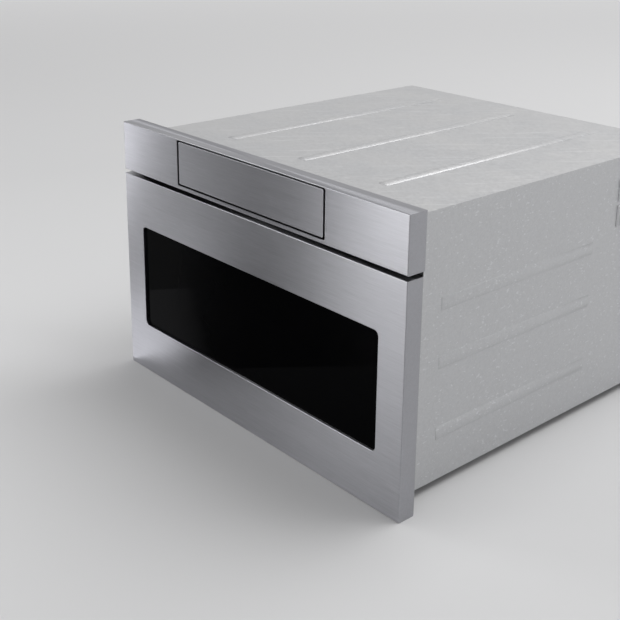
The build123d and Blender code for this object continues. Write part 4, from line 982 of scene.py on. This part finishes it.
@dataclass
class ControlFlap(SubAssembly):
    """The tilting flap with its stainless face, touch glass and gear."""

    coats = {
        Coat.STEEL: ("flap_skin",),
        Coat.BLACK: ("flap_body",),
        Coat.TOUCH: ("control_glass",),
        Coat.KEYS: ("key_board",),
        Coat.ACETAL: ("flap_gear", "flap_pinion"),
    }

    glass_edge: Point = (0.0, -29.2, 196.2)
    slope: float = 30.0
    print_lift: float = 0.03
    print_sheet: float = 0.03
    key_radius: float = 5.4
    key_wire: float = 0.22
    key_height: float = 5.0
    key_step: float = 19.0
    digit_start: float = 62.0
    sign_start: float = -62.0
    rows: Pair = (11.0, 26.0)
    clock_height: float = 12.0

    def on_glass(self, piece: Workpiece) -> Workpiece:
        """Lay a piece drawn on the XY plane on the sloping glass, with Y running to its back edge."""
        return piece.turned(-self.slope, "X").moved(self.glass_edge)

    def key(self, sign: str, x: float, along: float) -> Workpiece:
        """Model a key: a ring with a digit or sign in it.

        Args:
            sign: What it says.
            x: Its place along the glass.
            along: Its place up the slope.

        Returns:
            The key.
        """
        ring = Workpiece.ring("key", (x, along, self.print_lift), self.key_radius, self.key_wire)
        mark = Workpiece.digit("mark", sign, (x, along, self.print_lift), self.key_height, self.print_sheet)
        return ring.joined([mark])

    def build(self) -> None:
        """Model the keys and the clock on the touch glass."""
        keys = []
        digits = (self.digit_start, self.key_step, ("12345", "67890"))
        signs = (self.sign_start, -self.key_step, ("+-", "<>"))
        for start, step, lines in (digits, signs):
            for row, line in zip(reversed(self.rows), lines):
                keys += [self.key(sign, start + column * step, row) for column, sign in enumerate(line)]
        legend = self.on_glass(keys[0].joined(keys[1:]))
        legend.thing.name = "key_legends"
        self.add(legend, "control_flap", Coat.LEGEND, "white_plastic")
        middle = (0.0, sum(self.rows) / 2, self.print_lift)
        clock = Workpiece.digit("clock", "12:00", middle, self.clock_height, self.print_sheet)
        self.add(self.on_glass(clock), "control_flap", Coat.CLOCK, "white_plastic")


@dataclass
class DrawerFront(SubAssembly):
    """The drawer's stainless front with its window and choke frame."""

    coats = {
        Coat.STEEL: ("drawer_skin",),
        Coat.GLASS: ("door_glass",),
        Coat.ENAMEL: ("door_frame",),
        Coat.SCREEN: ("window_screen",),
        Coat.CLEAR: ("inner_glass",),
        Coat.BLACK: ("choke_cover",),
        Coat.PLATED: ("latch_hooks",),
    }

    screw_radius: float = 3.4
    screw_height: float = 0.8
    screw_rim: Pair = (0.7, 0.12)
    slot_reach: float = 2.3
    slot_width: float = 0.4
    frame_back: float = -2.4
    screw_columns: tuple[float, ...] = (-284.0, -95.0, 95.0, 284.0)
    screw_rows: Pair = (-176.0, 108.0)

    def build(self) -> None:
        """Model the countersunk screws that hold the frame to the skin, in its back."""
        middle = self.frame_back + self.screw_height / 2
        start = (self.screw_columns[0], middle, self.screw_rows[0])
        screw = Workpiece.disc("frame_screws", start, self.screw_radius, self.screw_height, "Y", 20)
        screw.inset(facing(Y), *self.screw_rim)
        for wide, high in ((self.slot_reach, self.slot_width), (self.slot_width, self.slot_reach)):
            low = (start[X] - wide, middle, start[Z] - high)
            screw.cut(Workpiece.block("slot", low, (start[X] + wide, middle + 1, start[Z] + high)))
        moves = [(x - start[X], 0.0, z - start[Z]) for x in self.screw_columns for z in self.screw_rows]
        self.add(screw.repeated(moves), "drawer", Coat.PLATED)


@dataclass
class DrawerBox(SubAssembly):
    """The sliding pan, its arms, slides and racks."""

    coats = {
        Coat.ENAMEL: ("drawer_pan",),
        Coat.PLATED: (
            *pairs("slide_outer", "slide_middle", "slide_inner"),
            "outer_ball_cages",
            "inner_ball_cages",
        ),
        Coat.ZINC: pairs("drawer_arm", "slide_angle"),
        Coat.ACETAL: pairs("rack"),
    }

    slide_axis: float = -90.0
    slide_web: float = 262.9
    rivet_radius: float = 3.2
    rivet_height: float = 1.0
    rivet_crown: Pair = (1.4, 0.25)
    rivet_round: float = 0.3
    rivet_places: tuple[float, ...] = (40.0, 130.0, 220.0, 310.0, 400.0)

    def build(self) -> None:
        """Model the rivets that hold each arm to its slide."""
        for side, sign in BOTH_SIDES:
            start = (sign * (self.slide_web + self.rivet_height / 2), self.rivet_places[0], self.slide_axis)
            rivet = Workpiece.disc(f"slide_rivets_{side}", start, self.rivet_radius, self.rivet_height, "X", 24)
            rivet.inset(facing(X, sign), *self.rivet_crown)
            moves = [(0.0, place - self.rivet_places[0], 0.0) for place in self.rivet_places]
            self.add(rivet.rounded(self.rivet_round, 2).repeated(moves), "drawer", Coat.PLATED)


@dataclass
class RackDrive(SubAssembly):
    """The cross shaft, its pinions and bearings, and the motor that turns it."""

    coats = {
        Coat.PLATED: ("drive_shaft", "drive_motor"),
        Coat.ACETAL: (*pairs("pinion"), "drive_gear", "motor_gear"),
        Coat.BLACK: ("shaft_bearings",),
    }


@dataclass
class OvenCase(SubAssembly):
    """The sheet steel case with its flange, back and screws."""

    coats = {
        Coat.ZINC: ("base_plate", "case_wrap", "back_plate"),
        Coat.DARK: ("front_frame",),
        Coat.PLATED: ("case_screws",),
        Coat.BLACK: ("cord_gland",),
        Coat.NYLON: ("interlock_blocks",),
    }

    half_case: float = 278.0
    case_top: float = 185.9
    case_back: float = 588.0
    hood_columns: int = 9
    hood_pitch: float = 8.0
    hood_middle: Point = (278.0, 470.0, 115.9)
    hood_rise: float = 19.5
    hood_length: float = 33.0
    hood_foot: float = 0.3
    hood_run: Pair = (-3.0, 1.2)
    hood_lean: float = 0.9
    hood_rim: float = 0.5
    hood_height: float = 2.4
    bead_height: float = 1.8
    bead_width: float = 18.0
    bead_foot: float = 0.2
    bead_flank: float = 3.5
    bead_round: float = 0.8
    top_beads: tuple[float, ...] = (-160.0, 0.0, 160.0)
    top_run: Pair = (70.0, 530.0)
    side_beads: tuple[float, ...] = (-120.0, -20.0, 60.0)
    side_run: Pair = (60.0, 380.0)
    back_beads: tuple[Pair, ...] = ((-140.0, -95.0), (-200.0, -45.0))  # each one's start and height
    back_bead_end: float = 170.0
    back_bead_width: float = 16.0
    screw_columns: Pair = (-270.2, 270.2)
    screw_rows: tuple[float, ...] = (-151.1, -1.1, 148.9)
    screw_radius: float = 4.0
    screw_foot: float = 0.5
    screw_height: float = 2.0
    flange_radius: float = 5.2
    flange_height: float = 0.8
    flange_rim: Pair = (0.7, 0.2)
    head_rim: float = 0.6
    head_dish: Pair = (0.5, -0.4)
    slot_length: float = 5.8
    slot_width: float = 0.9
    slot_floor: float = 1.6

    def hood(self, sign: float) -> Workpiece:
        """Model a louvre hood over the first vent slot, open to the back.

        Args:
            sign: Side of the case, -1 for left and 1 for right.

        Returns:
            The hood.
        """
        x, y, z = self.hood_middle
        y -= self.hood_pitch * (self.hood_columns - 1) / 2
        z += self.hood_rise
        inside, outside = sorted((sign * x, sign * (x + self.hood_foot)))
        low = (inside, y + self.hood_run[0], z - self.hood_length / 2)
        high = (outside, y + self.hood_run[1], z + self.hood_length / 2)
        hood = Workpiece.block("hood", low, high)
        hood.inset(facing(X, sign), self.hood_rim, self.hood_height - self.hood_foot)
        hood.edit(facing(X, sign))
        bpy.ops.transform.translate(value=mm(0.0, self.hood_lean, 0.0))
        return hood.close().rounded(self.hood_rim, 2)

    def bead(self, name: str, low: Point, high: Point, up: FaceTest) -> None:
        """Model a long stiffening bead with sloping flanks on the case.

        Args:
            name: Its name.
            low: Lowest corner of its foot.
            high: Highest corner of its foot.
            up: The test for the side that it stands out to.
        """
        bead = Workpiece.block(name, low, high)
        bead.inset(up, self.bead_flank, self.bead_height - self.bead_foot)
        self.add(bead.rounded(self.bead_round, 3), "case", Coat.ZINC)

    def screw(self) -> Workpiece:
        """Model a hexagonal screw head with a pressed flange, a dished top and a slot.

        Returns:
            The screw head.
        """
        x, z, back = self.screw_columns[0], self.screw_rows[0], self.case_back
        middle = (x, back + self.flange_height / 2, z)
        flange = Workpiece.disc("case_screw_heads", middle, self.flange_radius, self.flange_height, "Y", 28)
        flange.inset(facing(Y), *self.flange_rim)
        middle = (x, back + self.screw_foot + self.screw_height / 2, z)
        head = Workpiece.disc("head", middle, self.screw_radius, self.screw_height, "Y", 6)
        head.inset(facing(Y), self.head_rim)
        reach = self.screw_radius / 2
        head.inset(lambda place, normal: normal.y > FLAT and abs(place.x - x) < reach, *self.head_dish)
        wide, high = self.slot_length / 2, self.slot_width / 2
        low = (x - wide, back + self.slot_floor, z - high)
        slot = Workpiece.block("slot", low, (x + wide, low[Y] + self.screw_height, z + high))
        return flange.joined([head.cut(slot)])

    def build(self) -> None:
        """Model the vent hoods, the beads and the screw heads."""
        half = self.bead_width / 2
        for side, sign in BOTH_SIDES:
            hoods = self.hood(sign)
            hoods.thing.name = f"vent_hoods_{side}"
            drops = (0.0, -2 * self.hood_rise)
            moves = [(0.0, self.hood_pitch * step, drop) for step in range(self.hood_columns) for drop in drops]
            self.add(hoods.repeated(moves), "case", Coat.ZINC)
            inside, outside = sorted((sign * self.half_case, sign * (self.half_case + self.bead_foot)))
            for number, z in enumerate(self.side_beads):
                low, high = (inside, self.side_run[0], z - half), (outside, self.side_run[1], z + half)
                self.bead(f"side_bead_{side}_{number}", low, high, facing(X, sign))
        top = (self.case_top, self.case_top + self.bead_foot)
        for number, x in enumerate(self.top_beads):
            low, high = (x - half, self.top_run[0], top[0]), (x + half, self.top_run[1], top[1])
            self.bead(f"top_bead_{number}", low, high, facing(Z))
        half = self.back_bead_width / 2
        for number, (start, z) in enumerate(self.back_beads):
            high = (self.back_bead_end, self.case_back + self.bead_foot, z + half)
            self.bead(f"back_bead_{number}", (start, self.case_back, z - half), high, facing(Y))
        screw = self.screw()
        places = [(x, z) for x in self.screw_columns for z in self.screw_rows]
        moves = [(x - self.screw_columns[0], 0.0, z - self.screw_rows[0]) for x, z in places]
        self.add(screw.repeated(moves), "case", Coat.PLATED)
        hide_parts("case_screws")


@dataclass
class OvenWorks(SubAssembly):
    """The cavity and the microwave, cooling and electrical parts round it."""

    coats = {
        Coat.ENAMEL: ("oven_cavity",),
        Coat.ZINC: ("waveguide", "magnetron", "exhaust_duct"),
        Coat.MICA: ("waveguide_cover",),
        Coat.ALUMINIUM: ("stirrer", "hv_capacitor"),
        Coat.PLATED: ("stirrer_motor",),
        Coat.CORE: ("transformer_core", "fan_motor"),
        Coat.COPPER: ("transformer_windings",),
        Coat.BLACK: ("fan_housing", "fan_blade"),
        Coat.BULB: ("oven_lamp",),
        Coat.BOARD: ("power_board",),
    }


# Studio


@dataclass(frozen=True)
class Lamp:
    """A soft rectangular lamp."""

    name: str
    place: Point
    aim: Point
    size: Pair
    power: float

    def hang(self) -> None:
        """Add the lamp, turned to what it is aimed at."""
        data = bpy.data.lights.new(self.name, "AREA")
        data.shape = "RECTANGLE"
        data.size, data.size_y = self.size
        data.energy = self.power
        lamp = bpy.data.objects.new(self.name, data)
        lamp.location = self.place
        lamp.rotation_euler = (Vector(self.aim) - Vector(self.place)).to_track_quat("-Z", "Y").to_euler()
        lamp.visible_camera = False
        bpy.context.scene.collection.objects.link(lamp)


@dataclass(frozen=True)
class Flag:
    """A dark or pale card with soft long edges that only shiny surfaces see.

    Attributes:
        name: The card's name.
        place: Its middle.
        size: Its length, its breadth and its height.
        heading: Which way its length lies, in degrees.
        glow: How bright it is.
        depth: How much of what lies behind its middle it hides.
        colour: The cloth's own colour.
        glow_colour: The colour of its glow.
    """

    name: str
    place: Point
    size: Point
    heading: float
    glow: float
    depth: float
    colour: Colour = (0.02, 0.02, 0.022)
    glow_colour: Colour = (0.97, 0.97, 1.0)

    def cloth(self) -> bpy.types.Material:
        """Give the card's cloth, which thins out towards the long edges.

        Returns:
            The material.
        """
        made, graph, surface = new_material(self.name)
        graph.fill(surface, Base_Color=self.colour, Roughness=1.0)
        graph.fill(surface, Emission_Color=self.glow_colour, Emission_Strength=self.glow)
        where = graph.call("ShaderNodeTexCoord", {}, "Generated")
        across = graph.call("ShaderNodeSeparateXYZ", {"Vector": where}, "Y")
        off = graph.sum_up("ABSOLUTE", graph.sum_up("SUBTRACT", across, 0.5), 0.0)
        graph.fill(surface, Alpha=graph.span(off, self.depth, 0.0, 0.1, 0.5))
        return made

    def stand(self) -> None:
        """Add the card, out of sight of the camera and without a shadow."""
        cloth = self.cloth()
        Workpiece.pick()
        turn = (0.0, 0.0, math.radians(self.heading))
        bpy.ops.mesh.primitive_cube_add(size=1.0, location=self.place, rotation=turn, scale=self.size)
        card = bpy.context.active_object
        card.name = self.name
        card.data.materials.append(cloth)
        card.visible_camera = card.visible_diffuse = card.visible_shadow = False


@dataclass
class Studio:
    """The floor, the lamps, the world and the camera.

    Attributes:
        floor_level: The floor's height in millimetres, as are its reach and its depth.
        far_lift: How much the floor glows far off, between near_reach and far_reach in metres.
        camera_turn: The camera's heading, dip and roll in degrees.
    """

    floor_level: float = -200.8
    floor_reach: float = 6000.0
    floor_depth: float = 20.0
    floor_colour: Colour = (0.66, 0.66, 0.665)
    backdrop: Colour = (0.62, 0.62, 0.625)
    world_level: float = 0.44
    far_lift: float = 0.48
    near_reach: float = 1.5
    far_reach: float = 6.0
    lamps: tuple[Lamp, ...] = (
        Lamp("top_softbox", (0.8, 1.9, 3.6), (0.1, 0.2, 0.0), (3.4, 3.4), 120.0),
        Lamp("edge_softbox", (-1.9, -0.95, 1.55), (0.0, 0.0, 0.0), (0.8, 0.8), 7.0),
        Lamp("right_strip", (-0.80, -1.42, 0.20), (0.3, 0.0, 0.0), (0.45, 0.7), 4.2),
    )
    # painted reflections: the dark flags paint shade into the brushed front's middle and the glowing cards paint
    # highlights at its left end
    flags: tuple[Flag, ...] = (
        Flag("floor_flag", (-0.71, -0.65, -0.196), (1.5, 0.38, 0.004), 38.0, 0.0, 0.97),
        Flag("far_flag", (-1.27, -1.04, 0.38), (0.004, 0.54, 1.16), 38.0, 0.0, 0.97),
        Flag("pale_card", (-0.40, -0.125, -0.192), (0.28, 0.18, 0.004), 31.4, 1.3, 1.0),
        Flag("left_card", (-1.12, -0.47, -0.07), (0.004, 0.18, 0.24), 29.8, 4.6, 1.0),
    )
    lens: float = 62.25
    shift: float = -0.20
    clip: Pair = (0.05, 50.0)
    camera_place: Point = (1.0926, -0.8804, 0.5734)
    camera_turn: Point = (48.50, 16.39, -0.59)

    @staticmethod
    def seen(graph: Graph) -> Socket:
        """Give 1 for rays that come from the camera, a mirror or glass, otherwise 0.

        Args:
            graph: Where it is needed.

        Returns:
            The 1 or 0.
        """
        rays = graph.tree.nodes.new("ShaderNodeLightPath").outputs
        seen = graph.sum_up("MAXIMUM", rays["Is Camera Ray"], rays["Is Glossy Ray"])
        return graph.sum_up("MAXIMUM", seen, rays["Is Transmission Ray"])

    def lay_floor(self) -> None:
        """Add a plain pale floor, which the camera sees as pale far off as it is near."""
        low = (-self.floor_reach, -self.floor_reach, self.floor_level - self.floor_depth)
        floor = Workpiece.block("floor", low, (self.floor_reach, self.floor_reach, self.floor_level))
        material, graph, surface = new_material("pale_floor")
        graph.fill(surface, Base_Color=self.floor_colour, Roughness=0.9, Specular_IOR_Level=0.1)
        where = graph.call("ShaderNodeTexCoord", {}, "Object")
        away = graph.call("ShaderNodeVectorMath", {0: where}, "Value", operation="LENGTH")
        lift = graph.span(away, 0.0, self.far_lift, self.near_reach, self.far_reach)
        strength = graph.sum_up("MULTIPLY", lift, self.seen(graph))
        graph.fill(surface, Emission_Color=self.backdrop, Emission_Strength=strength)
        floor.thing.data.materials.append(material)

    def light(self) -> None:
        """Set the world, hang the lamps and stand the cards that draw the brushed front's dark middle."""
        world = bpy.data.worlds.new("soft_room")
        bpy.context.scene.world = world
        world.use_nodes = True
        graph = Graph(world.node_tree)
        room = graph.tint(self.seen(graph), (self.world_level,) * 3, self.backdrop)
        graph.fill(world.node_tree.nodes["Background"].inputs, Color=room)
        for lamp in self.lamps:
            lamp.hang()
        for flag in self.flags:
            flag.stand()

    def set_camera(self) -> None:
        """Stand the camera where the photograph was taken from."""
        data = bpy.data.cameras.new("camera")
        data.lens = self.lens
        data.shift_y = self.shift
        data.clip_start, data.clip_end = self.clip
        camera = bpy.data.objects.new("camera", data)
        yaw, pitch, roll = (math.radians(turn) for turn in self.camera_turn)
        level = Matrix.Rotation(yaw, 4, "Z") @ Matrix.Rotation(math.pi / 2 - pitch, 4, "X")
        camera.matrix_world = Matrix.Translation(self.camera_place) @ level @ Matrix.Rotation(-roll, 4, "Z")
        bpy.context.scene.collection.objects.link(camera)
        bpy.context.scene.camera = camera
        bpy.context.scene.view_settings.view_transform = "Standard"


def main() -> None:
    """Build the object's sub-assemblies in order and set the studio round them."""
    logging.basicConfig(level=logging.INFO, format="%(message)s")
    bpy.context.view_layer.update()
    studio = Studio()
    studio.set_camera()
    paint = PaintShop()
    for kind in (OvenCase, OvenWorks, RackDrive, DrawerBox, DrawerFront, ControlStrip, ControlFlap):
        group = kind(paint)
        log.info("%s", kind.__doc__)
        group.build()
        group.dress()
    studio.lay_floor()
    studio.light()


if __name__ == "__main__":
    main()
